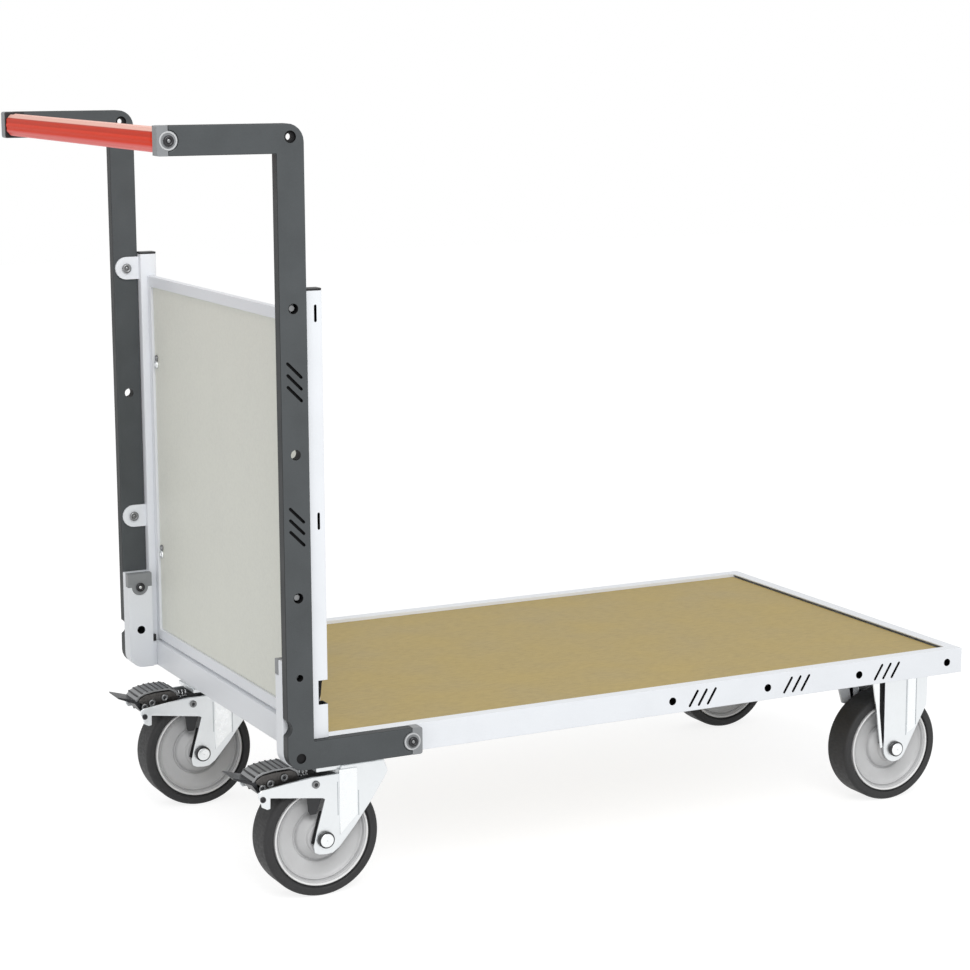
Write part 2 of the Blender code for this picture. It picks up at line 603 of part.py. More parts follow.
def swivel_caster(label, side, mats):
    y = side * CASTER_Y
    outline, holes = caster_plate_outline(SWIVEL_AXIS_X, y)
    plate_y = {"origin": (SWIVEL_AXIS_X, y, PLATE_BOTTOM)}
    slab("swivel_plate_" + label, outline, PLATE_BOTTOM, BASE - GAP, "Z", mats["zinc"], holes, **plate_y)
    swivel_head(label, y, mats)

    turn = empty("swivel_axis_" + label, (SWIVEL_AXIS_X, y, CROWN_TOP))
    axis_place = (SWIVEL_AXIS_X, y, CROWN_TOP)
    reach = FORK_INNER + 0.0005
    crown = [(-0.385, y - reach), (-0.290, y - reach), (-0.290, y + reach), (-0.385, y + reach)]
    crown_holes = [circle(SWIVEL_AXIS_X, y, KING_PIN_RADIUS + 0.0004, 16)]
    pin_hole = circle(PEDAL_PIN[0], PEDAL_PIN[1], 0.0034, 12)
    fork("swivel_fork_" + label, (crown, CROWN_BOTTOM, CROWN_TOP, crown_holes),
         (swivel_fork_leg(True), swivel_fork_leg(False)),
         SWIVEL_AXLE_X, y, mats, turn, axis_place, [pin_hole])
    axle_bolt("swivel_" + label, SWIVEL_AXLE_X, y, side, mats, turn)
    brake_spring(label, y, mats, turn, axis_place)

    spin = empty("swivel_spin_" + label, (SWIVEL_AXLE_X, y, WHEEL_RADIUS), turn)
    wheel("swivel_" + label, SWIVEL_AXLE_X, y, mats, spin)
    press = empty("pedal_axis_" + label, (PEDAL_PIN[0], y, PEDAL_PIN[1]), turn)
    brake_pedal(label, y, mats, press)


def swivel_head(label, y, mats):
    """Bearing race under the plate with its king pin, riveted below the fork's crown."""
    head_top = CROWN_BOTTOM - CROWN_TOP - 2 * GAP
    race_top = PLATE_BOTTOM - CROWN_TOP - 2 * GAP
    profile = [(0.0, head_top - 0.004), (0.0090, head_top - 0.004), (0.0110, head_top),
               (KING_PIN_RADIUS, head_top), (KING_PIN_RADIUS, 0.0), (0.0310, 0.0), (0.0360, 0.004),
               (0.0360, 0.009), (0.0330, race_top), (0.0, race_top)]
    place = (SWIVEL_AXIS_X, y, CROWN_TOP + GAP)
    lathe("swivel_head_" + label, profile, place, mats["zinc"], 24, axis="Z", origin=place)


def brake_spring(label, y, mats, turn, origin):
    """Leaf over the tyre that the pedal presses down; it is held under the fork's crown."""
    outline = [(-0.434, 0.158), (-0.400, 0.1655), (-0.388, 0.1665), (-0.388, 0.1695), (-0.402, 0.1685),
               (-0.435, 0.161)]
    slab("brake_spring_" + label, outline, y - 0.018, y + 0.018, "Y", mats["dark_steel"],
         parent=turn, origin=origin)


def brake_pedal(label, y, mats, press):
    """Foot pedal: it turns on a pin between the fork's arms, and its toe reaches back."""
    x, z = PEDAL_PIN
    outline = [(x - 0.038, z + 0.024), (x - 0.036, z + 0.020), (x - 0.006, z - 0.001)]
    outline += arc(x, z, 0.0070, 220, 340, 4)
    outline += [(x + 0.014, z + 0.008), (x + 0.027, z + 0.014), (x + 0.055, z + 0.021),
                (x + 0.055, z + 0.026), (x + 0.040, z + 0.034), (x + 0.012, z + 0.035),
                (x - 0.004, z + 0.024), (x - 0.010, z + 0.009)]
    where = {"parent": press, "origin": (x, y, z)}
    pedal = slab("brake_pedal_" + label, outline, y - PEDAL_HALF_WIDTH, y + PEDAL_HALF_WIDTH, "Y", mats["dark_steel"], **where)
    reach = FORK_INNER + FORK_SHEET + 0.0018
    pin = [(0.0, -reach), (0.0031, -reach), (0.0031, reach), (0.0, reach)]
    tool = lathe("pedal_pin_" + label + "_tool", pin, (x, y, z), mats["dark_steel"], 12)
    combine(pedal, tool, "UNION")


def fixed_caster(label, side, mats):
    """Rigid caster: its fork carries the mounting plate, and only the wheel turns."""
    y = side * CASTER_Y
    outline, holes = caster_plate_outline(FIXED_PLATE_X, y)
    origin = (FIXED_AXLE_X, y, WHEEL_RADIUS)
    leg = [(0.501, BASE - 0.0025), (0.501, 0.150)]
    leg += arc(FIXED_AXLE_X, WHEEL_RADIUS, 0.0195, 180, 330, 8)
    leg += [(0.576, 0.140), (0.577, BASE - 0.0025)]
    fork("fixed_fork_" + label, (outline, PLATE_BOTTOM, BASE - GAP, holes), (leg, leg),
         FIXED_AXLE_X, y, mats, None, origin)
    axle_bolt("fixed_" + label, FIXED_AXLE_X, y, side, mats, None)
    spin = empty("fixed_spin_" + label, origin)
    wheel("fixed_" + label, FIXED_AXLE_X, y, mats, spin)


# ---------------------------------------------------------------- assembly
def materials():
    return {
        "frame": material("white_powder_coat", (0.84, 0.86, 0.89), 0.40),
        "bracket": material("anthracite_powder_coat", (0.095, 0.105, 0.110), 0.50),
        "deck": material("deck_fibreboard", (0.42, 0.33, 0.16), 0.60),
        "panel": material("panel_board", (0.56, 0.55, 0.49), 0.55),
        "cap": material("cap_grey_plastic", (0.36, 0.37, 0.38), 0.50),
        "plug": material("plug_black_plastic", (0.02, 0.02, 0.02), 0.50),
        "grip": material("grip_red_plastic", (0.62, 0.07, 0.04), 0.35),
        "screw": material("screw_steel", (0.30, 0.30, 0.31), 0.35, 1.0),
        "steel": material("bright_steel", (0.66, 0.67, 0.68), 0.30, 1.0),
        "zinc": material("zinc_plated_steel", (0.80, 0.82, 0.84), 0.30, 1.0),
        "dark_steel": material("pedal_dark_steel", (0.10, 0.10, 0.11), 0.45, 0.8),
        "rim": material("rim_grey_plastic", (0.50, 0.51, 0.52), 0.50),
        "tyre": material("tyre_grey_rubber", (0.055, 0.055, 0.060), 0.70),
    }


def build():
    clear_scene()
    mats = materials()
    pivot = empty("push_bar_axis", (PIVOT[0], 0.0, PIVOT[1]))
    for label, side in SIDES.items():
        side_rail("side_rail_" + label, side, mats)
        corner_stub(label, side, mats)
        side_bracket(label, side, mats, pivot)
        upright(label, side, mats, pivot)
        swivel_caster(label, side, mats)
        fixed_caster(label, side, mats)
    end_rail("end_rail_handle", END_RAIL_X, 1, mats)
    end_rail("end_rail_open", RIGHT, -1, mats)
    cross_member("cross_member_handle", -0.3932, -0.2600, mats)
    cross_member("cross_member_open", 0.4340, 0.5855, mats)
    deck(mats)
    handle(mats, pivot)
    panel(mats, pivot)


build()
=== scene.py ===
# %% [markdown]
# # A folding platform cart
# This cart is a flat wooden deck inside a ring of white steel profiles. It stands on two
# swivel casters and two fixed ones. At one end a push bar carries a grip and an end panel,
# and the whole push bar folds down over the deck.
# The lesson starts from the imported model, keeps every size in it, and gives each part its
# real edges, small fittings and finish.

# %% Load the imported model
import bpy
import bmesh
import json
import math
from mathutils import Matrix, Vector


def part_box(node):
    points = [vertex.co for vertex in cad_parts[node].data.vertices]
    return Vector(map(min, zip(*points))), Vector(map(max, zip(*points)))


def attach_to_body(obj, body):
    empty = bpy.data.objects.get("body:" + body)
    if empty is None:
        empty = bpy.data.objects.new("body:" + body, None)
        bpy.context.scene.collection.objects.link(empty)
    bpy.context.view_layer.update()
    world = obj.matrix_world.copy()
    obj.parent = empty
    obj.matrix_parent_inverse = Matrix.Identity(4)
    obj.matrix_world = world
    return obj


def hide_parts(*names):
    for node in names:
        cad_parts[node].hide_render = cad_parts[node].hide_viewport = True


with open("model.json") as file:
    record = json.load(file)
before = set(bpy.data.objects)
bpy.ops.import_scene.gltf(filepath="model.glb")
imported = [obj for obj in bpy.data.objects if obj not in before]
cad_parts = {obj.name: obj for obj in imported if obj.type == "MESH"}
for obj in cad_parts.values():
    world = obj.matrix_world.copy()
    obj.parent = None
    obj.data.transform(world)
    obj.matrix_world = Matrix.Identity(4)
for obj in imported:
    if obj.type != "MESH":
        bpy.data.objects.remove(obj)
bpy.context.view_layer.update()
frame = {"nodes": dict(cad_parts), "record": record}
BODY_OF = {node: body for body, nodes in frame["record"]["behaviour"]["bodies"].items() for node in nodes}
SIDES = {"near": -1, "far": 1}

# %% [markdown]
# ## Camera
# The camera stands off the handle's corner, a little above the push bar, and looks slightly
# down. A long lens keeps the deck's edges nearly parallel. The direction is given by a turn
# from the +Y axis and a tilt below the horizon, which are easier to read than a matrix.

# %% Camera
CAMERA_PLACE = Vector((-1.6015, -3.1527, 1.1011))
CAMERA_TURN = math.radians(28.09)
CAMERA_TILT = math.radians(10.41)
LENS = 93.44
SHIFT = (-0.0619, 0.0155)


def aim(place, turn, tilt):
    """World matrix of a camera that looks along +Y, turned towards +X and tilted down."""
    level = math.cos(tilt)
    forward = Vector((math.sin(turn) * level, math.cos(turn) * level, -math.sin(tilt)))
    right = Vector((math.cos(turn), -math.sin(turn), 0))
    up = right.cross(forward)
    axes = Matrix((right, up, -forward)).transposed().to_4x4()
    return Matrix.Translation(place) @ axes


lens = bpy.data.cameras.new("corner_camera")
lens.sensor_width = 36
lens.lens = LENS
lens.shift_x, lens.shift_y = SHIFT
lens.clip_start = 0.1
lens.clip_end = 60
camera = bpy.data.objects.new("corner_camera", lens)
bpy.context.scene.collection.objects.link(camera)
camera.matrix_world = aim(CAMERA_PLACE, CAMERA_TURN, CAMERA_TILT)
bpy.context.scene.camera = camera
print("camera", round(lens.lens, 1), "mm lens at", tuple(round(v, 2) for v in CAMERA_PLACE))

# %% [markdown]
# ## Light, floor and background
# A white studio is light from every side, so the world gives most of the light. One large
# lamp above the near side adds soft shape and a soft shadow. The floor looks white to the
# camera through a little emission, and still shows the shadow under the cart.

# %% Helpers for nodes


def wire(graph, kind, inputs=None, **settings):
    """A node with its settings; each input is a value or another node's output."""
    made = graph.nodes.new(kind)
    for key, value in settings.items():
        setattr(made, key, value)
    for key, value in (inputs or {}).items():
        if isinstance(value, bpy.types.NodeSocket):
            graph.links.new(value, made.inputs[key])
        else:
            made.inputs[key].default_value = value
    return made


def seen_directly(graph):
    """1 for what the camera, a reflection or a clear piece shows, 0 for light on the cart."""
    rays = wire(graph, "ShaderNodeLightPath")
    seen = rays.outputs["Is Camera Ray"]
    for kind in ("Is Glossy Ray", "Is Transmission Ray"):
        either = wire(graph, "ShaderNodeMath", {0: seen, 1: rays.outputs[kind]}, operation="MAXIMUM")
        seen = either.outputs[0]
    return seen


# %% World
AMBIENT = 0.62
PURE_WHITE = (1.0, 1.0, 1.0, 1.0)
world = bpy.data.worlds.new("white_studio")
bpy.context.scene.world = world
world.use_nodes = True
sky = world.node_tree
sky.nodes.clear()
soft_light = wire(sky, "ShaderNodeBackground", {"Color": PURE_WHITE, "Strength": AMBIENT})
white = wire(sky, "ShaderNodeBackground", {"Color": PURE_WHITE, "Strength": 1.0})
choose = wire(sky, "ShaderNodeMixShader",
              {0: seen_directly(sky), 1: soft_light.outputs[0], 2: white.outputs[0]})
wire(sky, "ShaderNodeOutputWorld", {"Surface": choose.outputs[0]})
print("world light", AMBIENT)

# %% Lamp
KEY_PLACE = Vector((-0.9, -3.6, 3.4))
KEY_TARGET = Vector((0, 0, 0.4))
KEY_POWER = 120
KEY_SIZE = 2.4
lamp = bpy.data.lights.new("key_softbox", "AREA")
lamp.shape = "SQUARE"
lamp.size = KEY_SIZE
lamp.energy = KEY_POWER
key = bpy.data.objects.new("key_softbox", lamp)
bpy.context.scene.collection.objects.link(key)
towards = (KEY_PLACE - KEY_TARGET).to_track_quat("Z", "Y")
key.matrix_world = Matrix.Translation(KEY_PLACE) @ towards.to_matrix().to_4x4()
print("key lamp", lamp.energy, "W")

# %% Floor
FLOOR_HALF = 9.0
FLOOR_GLOW = 0.84
floor_mesh = bpy.data.meshes.new("studio_floor")
corners = [(x * FLOOR_HALF, y * FLOOR_HALF, 0) for x, y in ((-1, -1), (1, -1), (1, 1), (-1, 1))]
floor_mesh.from_pydata(corners, [], [(0, 1, 2, 3)])
floor = bpy.data.objects.new("studio_floor", floor_mesh)
bpy.context.scene.collection.objects.link(floor)
paper = bpy.data.materials.new("white_floor_paper")
paper.use_nodes = True
graph = paper.node_tree
graph.nodes.clear()
plain = wire(graph, "ShaderNodeBsdfDiffuse", {"Color": (0.80, 0.80, 0.80, 1)})
faint = wire(graph, "ShaderNodeBsdfDiffuse", {"Color": (0.30, 0.30, 0.30, 1)})
glow = wire(graph, "ShaderNodeEmission", {"Color": PURE_WHITE, "Strength": FLOOR_GLOW})
lit = wire(graph, "ShaderNodeAddShader", {0: faint.outputs[0], 1: glow.outputs[0]})
choose = wire(graph, "ShaderNodeMixShader",
              {0: seen_directly(graph), 1: plain.outputs[0], 2: lit.outputs[0]})
wire(graph, "ShaderNodeOutputMaterial", {"Surface": choose.outputs[0]})
floor_mesh.materials.append(paper)
bpy.context.scene.view_settings.view_transform = "Standard"
print("floor", 2 * FLOOR_HALF, "m wide")

# %% [markdown]
# ## Finishes
# Each finish is a Principled shader with three patterns on it: one for colour, one for
# gloss and one for the fine relief. The patterns are noise in object space, so they keep
# their real size: orange peel in powder coat is about a millimetre wide, and the fibres in
# a board are a few millimetres long.

# %% Helpers for finishes


def finish(name, colour, roughness, metallic=0.0, specular=0.5):
    """A Principled material with its plain values set on the shader itself."""
    made = bpy.data.materials.new(name)
    made.use_nodes = True
    shader = made.node_tree.nodes["Principled BSDF"]
    shader.inputs["Base Color"].default_value = (*colour, 1)
    shader.inputs["Roughness"].default_value = roughness
    shader.inputs["Metallic"].default_value = metallic
    shader.inputs["Specular IOR Level"].default_value = specular
    made.diffuse_color = (*colour, 1)
    return made


def into_shader(made, name, output):
    """Leads a node's output into the shader's input of that name."""
    made.node_tree.links.new(output, made.node_tree.nodes["Principled BSDF"].inputs[name])


# %% Helpers for patterns


def pattern(made, size, detail=3.0, stretch=(1, 1, 1)):
    """Noise with blobs of about size metres; stretch above 1 squeezes it along that axis."""
    graph = made.node_tree
    place = wire(graph, "ShaderNodeTexCoord")
    mapping = wire(graph, "ShaderNodeMapping", {"Vector": place.outputs["Object"], "Scale": stretch})
    noise = wire(graph, "ShaderNodeTexNoise",
                 {"Vector": mapping.outputs["Vector"], "Scale": 1.0 / size, "Detail": detail})
    return noise.outputs[0]


def mixed(made, first, second, share):
    """Two patterns in one: share of the second in the first."""
    mix = wire(made.node_tree, "ShaderNodeMix", {0: share, 2: first, 3: second}, data_type="FLOAT")
    return mix.outputs[0]


def tint(made, factor, stops):
    """Colours along a pattern: stops are (position, colour)."""
    ramp = wire(made.node_tree, "ShaderNodeValToRGB", {"Fac": factor})
    ramp.color_ramp.elements.remove(ramp.color_ramp.elements[1])
    for number, (position, colour) in enumerate(stops):
        if number:
            element = ramp.color_ramp.elements.new(position)
        else:
            element = ramp.color_ramp.elements[0]
        element.position = position
        element.color = (*colour, 1)
    into_shader(made, "Base Color", ramp.outputs["Color"])


def gloss(made, factor, low, high):
    """Roughness that wanders between low and high."""
    spread = wire(made.node_tree, "ShaderNodeMapRange",
                  {"Value": factor, "From Min": 0.3, "From Max": 0.7, "To Min": low, "To Max": high})
    into_shader(made, "Roughness", spread.outputs["Result"])


def relief(made, factor, height, strength):
    """Bumps of about height metres."""
    bump = wire(made.node_tree, "ShaderNodeBump",
                {"Height": factor, "Strength": strength, "Distance": height})
    into_shader(made, "Normal", bump.outputs["Normal"])


def shades(colour, low, high):
    """The colour darkened by low and lightened by high, as ramp stops with the colour between."""
    dark = tuple(c * (1 - low) for c in colour)
    light = tuple(min(c * (1 + high), 1.0) for c in colour)
    return [(0.30, dark), (0.50, colour), (0.70, light)]


# %% Powder coats
WHITE = (0.80, 0.825, 0.86)
ANTHRACITE = (0.066, 0.073, 0.077)


def powder_coat(name, colour, roughness, peel, height, low, high, specular=0.5):
    """Baked powder: a soft gloss, fine orange peel and slow drifts of shade."""
    made = finish(name, colour, roughness, specular=specular)
    drift = pattern(made, 0.060, 4.0)
    peel_pattern = pattern(made, peel, 2.0)
    tint(made, mixed(made, drift, peel_pattern, 0.35), shades(colour, low, high))
    gloss(made, drift, roughness - 0.05, roughness + 0.07)
    relief(made, peel_pattern, height, 0.5)
    return made


white_coat = powder_coat("white_powder_coat", WHITE, 0.36, 0.0011, 0.00004, 0.035, 0.02)
anthracite_coat = powder_coat("anthracite_powder_coat", ANTHRACITE, 0.42, 0.0009, 0.00010, 0.16, 0.14, 0.35)
# Painted shade: a darker coat for the brackets' sides.
side_shade_coat = powder_coat("painted_shade_side_powder", (0.022, 0.025, 0.027), 0.50, 0.0009, 0.00010, 0.2, 0.2, 0.3)
# Near-black painted shade for the insides of profiles, holes and slots, and for dark plates put where shade
# falls.
shade_lining = powder_coat("painted_shade_lining", (0.010, 0.010, 0.011), 0.60, 0.0009, 0.00008, 0.25, 0.25, 0.2)
print("powder coats:", white_coat.name, anthracite_coat.name, "and", shade_lining.name, "inside the profiles")

# %% Boards
DECK = (0.425, 0.325, 0.130)
PANEL = (0.78, 0.79, 0.72)


def fibreboard(name, colour, roughness, low, high, specular):
    """Pressed wood: short fibres along X, fine specks and slow clouds, under a thin sealer."""
    made = finish(name, colour, roughness, specular=specular)
    fibres = pattern(made, 0.0045, 5.0, (0.35, 1.0, 1.0))
    specks = pattern(made, 0.0012, 2.0)
    clouds = pattern(made, 0.110, 3.0)
    grain = mixed(made, fibres, specks, 0.45)
    tint(made, mixed(made, grain, clouds, 0.35), shades(colour, low, high))
    gloss(made, clouds, roughness - 0.06, roughness + 0.08)
    relief(made, grain, 0.00012, 0.45)
    return made


deck_finish = fibreboard("sealed_tan_fibreboard", DECK, 0.55, 0.20, 0.16, 0.22)
panel_finish = fibreboard("pale_beige_board", PANEL, 0.50, 0.07, 0.05, 0.3)
print("boards:", deck_finish.name, panel_finish.name)

# %% Plastics


def moulded(name, colour, roughness, texture, height, low=0.08, high=0.08, specular=0.5):
    """Injection-moulded plastic: a spark-eroded grain and a faint flow pattern."""
    made = finish(name, colour, roughness, specular=specular)
    flow = pattern(made, 0.020, 3.0)
    erosion = pattern(made, texture, 2.0)
    tint(made, mixed(made, flow, erosion, 0.4), shades(colour, low, high))
    gloss(made, flow, roughness - 0.05, roughness + 0.08)
    relief(made, erosion, height, 0.5)
    return made


cap_finish = moulded("grey_cap_plastic", (0.24, 0.25, 0.26), 0.42, 0.0008, 0.00005)
# Black plastic of the upright plugs, also used as painted shade in gaps.
black_plug_and_shade = moulded("black_plug_and_shade_plastic", (0.012, 0.012, 0.013), 0.45, 0.0008, 0.00005)
rim_finish = moulded("pale_grey_rim_plastic", (0.55, 0.553, 0.557), 0.38, 0.0009, 0.00004, 0.05, 0.05)
# Near-white plastic for the rim's lip ring: a painted highlight.
lip_highlight = moulded("painted_highlight_lip_plastic", (0.83, 0.83, 0.83), 0.30, 0.0009, 0.00003, 0.03, 0.03)
# A pale grey painted highlight on the bead round each cap's boss.
boss_highlight = moulded("painted_highlight_ring_plastic", (0.52, 0.53, 0.54), 0.38, 0.0008, 0.00004)
# Near-black plastic as painted shade round the axle heads and behind the swivel fork's leg.
dark_shade_plastic = moulded("painted_shade_plastic", (0.018, 0.019, 0.021), 0.40, 0.0008, 0.00004)
print("plastics: 6")

# %% [markdown]
# The grip changes colour with its shape, and that colour is painted light. Its tree stores a
# value that is highest on each ridge, and the finish reads it and the height to paint a pink
# reflection below, deep red above, then a shade band and a highlight at the top, with the
# ridges shifting these bands. A tyre's finish reads the way the surface faces, so its tread
# and its sides can each have their own dark grey; here they are close to each other.

# %% Grip and tyre
GRIP_BOTTOM, GRIP_TOP = 0.967, 0.997


def ridged_plastic(name, deep, painted_reflection, crest):
    """Red plastic with painted light: a pink reflection below, deep red above, and a shade band and a
    highlight at the top.
    """
    made = finish(name, deep, 0.32, specular=0.03)
    graph = made.node_tree
    place = wire(graph, "ShaderNodeTexCoord")
    split = wire(graph, "ShaderNodeSeparateXYZ", {0: place.outputs["Object"]})
    upward = wire(graph, "ShaderNodeMapRange",
                  {"Value": split.outputs["Z"], "From Min": GRIP_BOTTOM, "From Max": GRIP_TOP})
    ridge = wire(graph, "ShaderNodeAttribute", attribute_name="crest")
    shifted = wire(graph, "ShaderNodeMath",
                   {0: ridge.outputs["Fac"], 1: -0.07, 2: upward.outputs["Result"]},
                   operation="MULTIPLY_ADD")
    grain = pattern(made, 0.0012, 3.0)
    # dark is a painted shade band, and crest a painted highlight, at the top of the grip.
    dark = tuple(c * 0.60 for c in deep)
    bands = [(0.12, painted_reflection), (0.34, deep), (0.62, deep), (0.80, dark), (0.90, crest)]
    tint(made, mixed(made, shifted.outputs[0], grain, 0.06), bands)
    gloss(made, grain, 0.26, 0.36)
    relief(made, grain, 0.00003, 0.4)
    return made


def tyre_rubber(name, tread, side):
    """Scuffed rubber with one grey for the tread and another for the sides."""
    made = finish(name, tread, 0.60, specular=0.3)
    graph = made.node_tree
    place = wire(graph, "ShaderNodeTexCoord")
    split = wire(graph, "ShaderNodeSeparateXYZ", {0: place.outputs["Normal"]})
    across = wire(graph, "ShaderNodeMath", {0: split.outputs["Y"]}, operation="ABSOLUTE")
    scuffs = pattern(made, 0.0030, 5.0, (1.0, 0.4, 1.0))
    tint(made, mixed(made, across.outputs[0], scuffs, 0.22), [(0.10, tread), (0.55, side)])
    gloss(made, scuffs, 0.50, 0.70)
    relief(made, scuffs, 0.00012, 0.5)
    return made


# Deep red, then the painted pink reflection, then the painted highlight at the top.
grip_finish = ridged_plastic("red_grip_plastic", (0.86, 0.045, 0.008), (0.98, 0.22, 0.21), (0.95, 0.55, 0.46))
tyre_finish = tyre_rubber("dark_grey_tyre_rubber", (0.036, 0.036, 0.037), (0.037, 0.037, 0.038))
print("grip and tyre finishes read the surface")

# %% Steels


def steel(name, colour, roughness, low, high, spangle, height):
    """Plated or bare steel: patches of slightly different gloss and fine drawn lines."""
    made = finish(name, colour, roughness, 1.0)
    patches = pattern(made, spangle, 3.0)
    drawn = pattern(made, 0.0006, 2.0, (1.0, 1.0, 0.08))
    tint(made, mixed(made, patches, drawn, 0.4), shades(colour, low, high))
    gloss(made, patches, roughness - 0.07, roughness + 0.09)
    relief(made, drawn, height, 0.3)
    return made


zinc_finish = steel("zinc_plate", (0.80, 0.825, 0.84), 0.36, 0.03, 0.025, 0.006, 0.00002)
# Brighter zinc for clips and axle caps, and as painted highlight on the forks' bands and strips.
bright_zinc_and_highlight = steel("bright_zinc_band", (0.90, 0.92, 0.93), 0.30, 0.02, 0.02, 0.006, 0.00002)
# Darker zinc strips are painted shade in the forks' creases.
crease_shade = steel("shaded_zinc_crease", (0.50, 0.53, 0.55), 0.45, 0.10, 0.08, 0.006, 0.00002)
# Grey screw steel, also used as painted shade above the panel clips.
grey_steel_and_shade = steel("grey_screw_steel_and_shade", (0.26, 0.265, 0.27), 0.36, 0.15, 0.15, 0.002, 0.00003)
bright_finish = steel("bright_steel", (0.78, 0.79, 0.80), 0.26, 0.08, 0.05, 0.003, 0.00003)
screw_finish = steel("dark_screw_steel", (0.055, 0.055, 0.058), 0.38, 0.20, 0.20, 0.002, 0.00003)
pedal_finish = steel("dark_pedal_steel", (0.105, 0.100, 0.096), 0.42, 0.30, 0.35, 0.003, 0.00010)
print("steels: 7")

# %% [markdown]
# ## Rounded edges
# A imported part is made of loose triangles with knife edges. Folded and sawn steel has small
# rounded edges that catch the light, and they are what makes a part look real. Each shown
# copy is welded, its triangles are joined into flat faces, and a Bevel modifier rounds the
# sharp edges. A long outline gets the full radius, and a small hole or slot gets a small
# one, so that it keeps its size.

# %% Helpers that tie a piece to its body


def place(piece, *nodes):
    """The piece stands for these nodes, which are hidden, and moves with their body."""
    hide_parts(*nodes)
    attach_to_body(piece, BODY_OF[nodes[0]])
    return piece


def attach(piece, like):
    """The piece is an added detail on the body of that node."""
    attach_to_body(piece, BODY_OF[like])
    return piece


def centre_of(node):
    """The middle of a node's box."""
    low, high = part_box(node)
    return (low + high) / 2


# %% Helpers that find sharp edges
SMALL_LOOP = 0.060
SMALL_RADIUS = 0.0003
SHARP = math.radians(28)


def sharp_loops(shape):
    """Groups of sharp edges that touch each other."""
    sharp = {e for e in shape.edges if len(e.link_faces) == 2 and e.calc_face_angle(0) > SHARP}
    groups = []
    while sharp:
        group, front = [], [sharp.pop()]
        while front:
            edge = front.pop()
            group.append(edge)
            for vert in edge.verts:
                for other in vert.link_edges:
                    if other in sharp:
                        sharp.remove(other)
                        front.append(other)
        groups.append(group)
    return groups


def extent(edges):
    """Largest side of the box around some edges."""
    points = [v.co for e in edges for v in e.verts]
    return max(max(p[i] for p in points) - min(p[i] for p in points) for i in range(3))


def weigh_edges(shape, radius):
    """Gives each sharp edge its share of the radius; returns the corners of the small loops."""
    weight = shape.edges.layers.float.new("bevel_weight_edge")
    small = set()
    for group in sharp_loops(shape):
        is_small = extent(group) < SMALL_LOOP
        share = min(SMALL_RADIUS / radius, 1.0) if is_small else 1.0
        for edge in group:
            edge[weight] = share
            if is_small:
                small.update(edge.verts)
    return small


# %% Helpers that make a mesh and round it


def welded(node):
    """The node's mesh with its triangles joined into flat faces."""
    shape = bmesh.new()
    shape.from_mesh(frame["nodes"][node].data)
    bmesh.ops.remove_doubles(shape, verts=shape.verts, dist=2e-6)
    bmesh.ops.dissolve_limit(shape, angle_limit=math.radians(0.8), verts=shape.verts, edges=shape.edges)
    return shape


def mesh_from(name, shape, material, lining=None):
    """A new object with the bmesh's faces, its material and the one of its lined faces."""
    for face in shape.faces:
        face.smooth = True
    mesh = bpy.data.meshes.new(name)
    shape.to_mesh(mesh)
    shape.free()
    for attribute in ("custom_normal", "sharp_edge", "sharp_face"):
        if attribute in mesh.attributes:
            mesh.attributes.remove(mesh.attributes[attribute])
    mesh.materials.append(material)
    if lining:
        mesh.materials.append(lining)
    piece = bpy.data.objects.new(name, mesh)
    bpy.context.scene.collection.objects.link(piece)
    return piece


def round_edges(piece, radius, segments=2):
    """Rounds the edges that carry a bevel weight."""
    rounding = piece.modifiers.new("rounded_edges", "BEVEL")
    rounding.limit_method = "WEIGHT"
    rounding.width = radius
    rounding.segments = segments
    rounding.harden_normals = True


# %% A shown copy of a node
HOLE_DEPTH = 0.0006


def in_box(point, low, high):
    """Whether the point lies between the two corners."""
    return all(a <= p <= b for p, a, b in zip(point, low, high))


def softened(node, material, radius, segments=2, lining=None, pocket=0.0, holes=True):
    """A shown copy of the node with rounded edges.

    The walls of its holes and slots, and faces more than pocket inside its box, get the lining, which is
    painted shade.
    """
    shape = welded(node)
    small = weigh_edges(shape, radius)
    low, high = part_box(node)
    for face in shape.faces:
        face.material_index = 0
        if not lining:
            continue
        middle = face.calc_center_median()
        depth = min(middle.y - low.y, high.y - middle.y)
        in_hole = holes and depth > HOLE_DEPTH and all(v in small for v in face.verts)
        inside = pocket and in_box(middle, [v + pocket for v in low], [v - pocket for v in high])
        if in_hole or inside:
            face.material_index = 1
    piece = mesh_from("shown_" + node, shape, material, lining)
    round_edges(piece, radius, segments)
    return place(piece, node)


# %% Helpers for turned and cut parts
FILLET_STEPS = 4
FACES = ((-1, "front"), (1, "back"))


def rounded_profile(corners, way=1):
    """Rounds each corner of a closed profile; corners are (radius, along, fillet).

    A way of -1 mirrors the profile along its axis.
    """
    points = []
    corners = [(r, way * a, fillet) for r, a, fillet in corners]
    count = len(corners)
    for i, (r, a, fillet) in enumerate(corners):
        here = Vector((r, a))
        before, after = Vector(corners[i - 1][:2]), Vector(corners[(i + 1) % count][:2])
        if fillet <= 0:
            points.append(here)
            continue
        back = (before - here).normalized() * min(fillet, (before - here).length * 0.48)
        on = (after - here).normalized() * min(fillet, (after - here).length * 0.48)
        for k in range(FILLET_STEPS + 1):
            t = k / FILLET_STEPS
            points.append(here + back * (1 - t) ** 2 + on * t ** 2)
    return points


def turned(name, profile, centre, material, steps=96):
    """A closed ring: the profile's (radius, along) turned about an axis along Y."""
    shape = bmesh.new()
    rings = []
    for i in range(steps):
        turn = 2 * math.pi * i / steps
        across, up = math.cos(turn), math.sin(turn)
        rings.append([shape.verts.new((centre[0] + r * across, centre[1] + y, centre[2] + r * up))
                      for r, y in profile])
    for first, second in zip(rings, rings[1:] + rings[:1]):
        for j in range(len(profile)):
            k = (j + 1) % len(profile)
            shape.faces.new((first[j], second[j], second[k], first[k]))
    bmesh.ops.recalc_face_normals(shape, faces=shape.faces)
    piece = mesh_from(name, shape, material)
    piece.data.set_sharp_from_angle(angle=math.radians(50))
    return piece


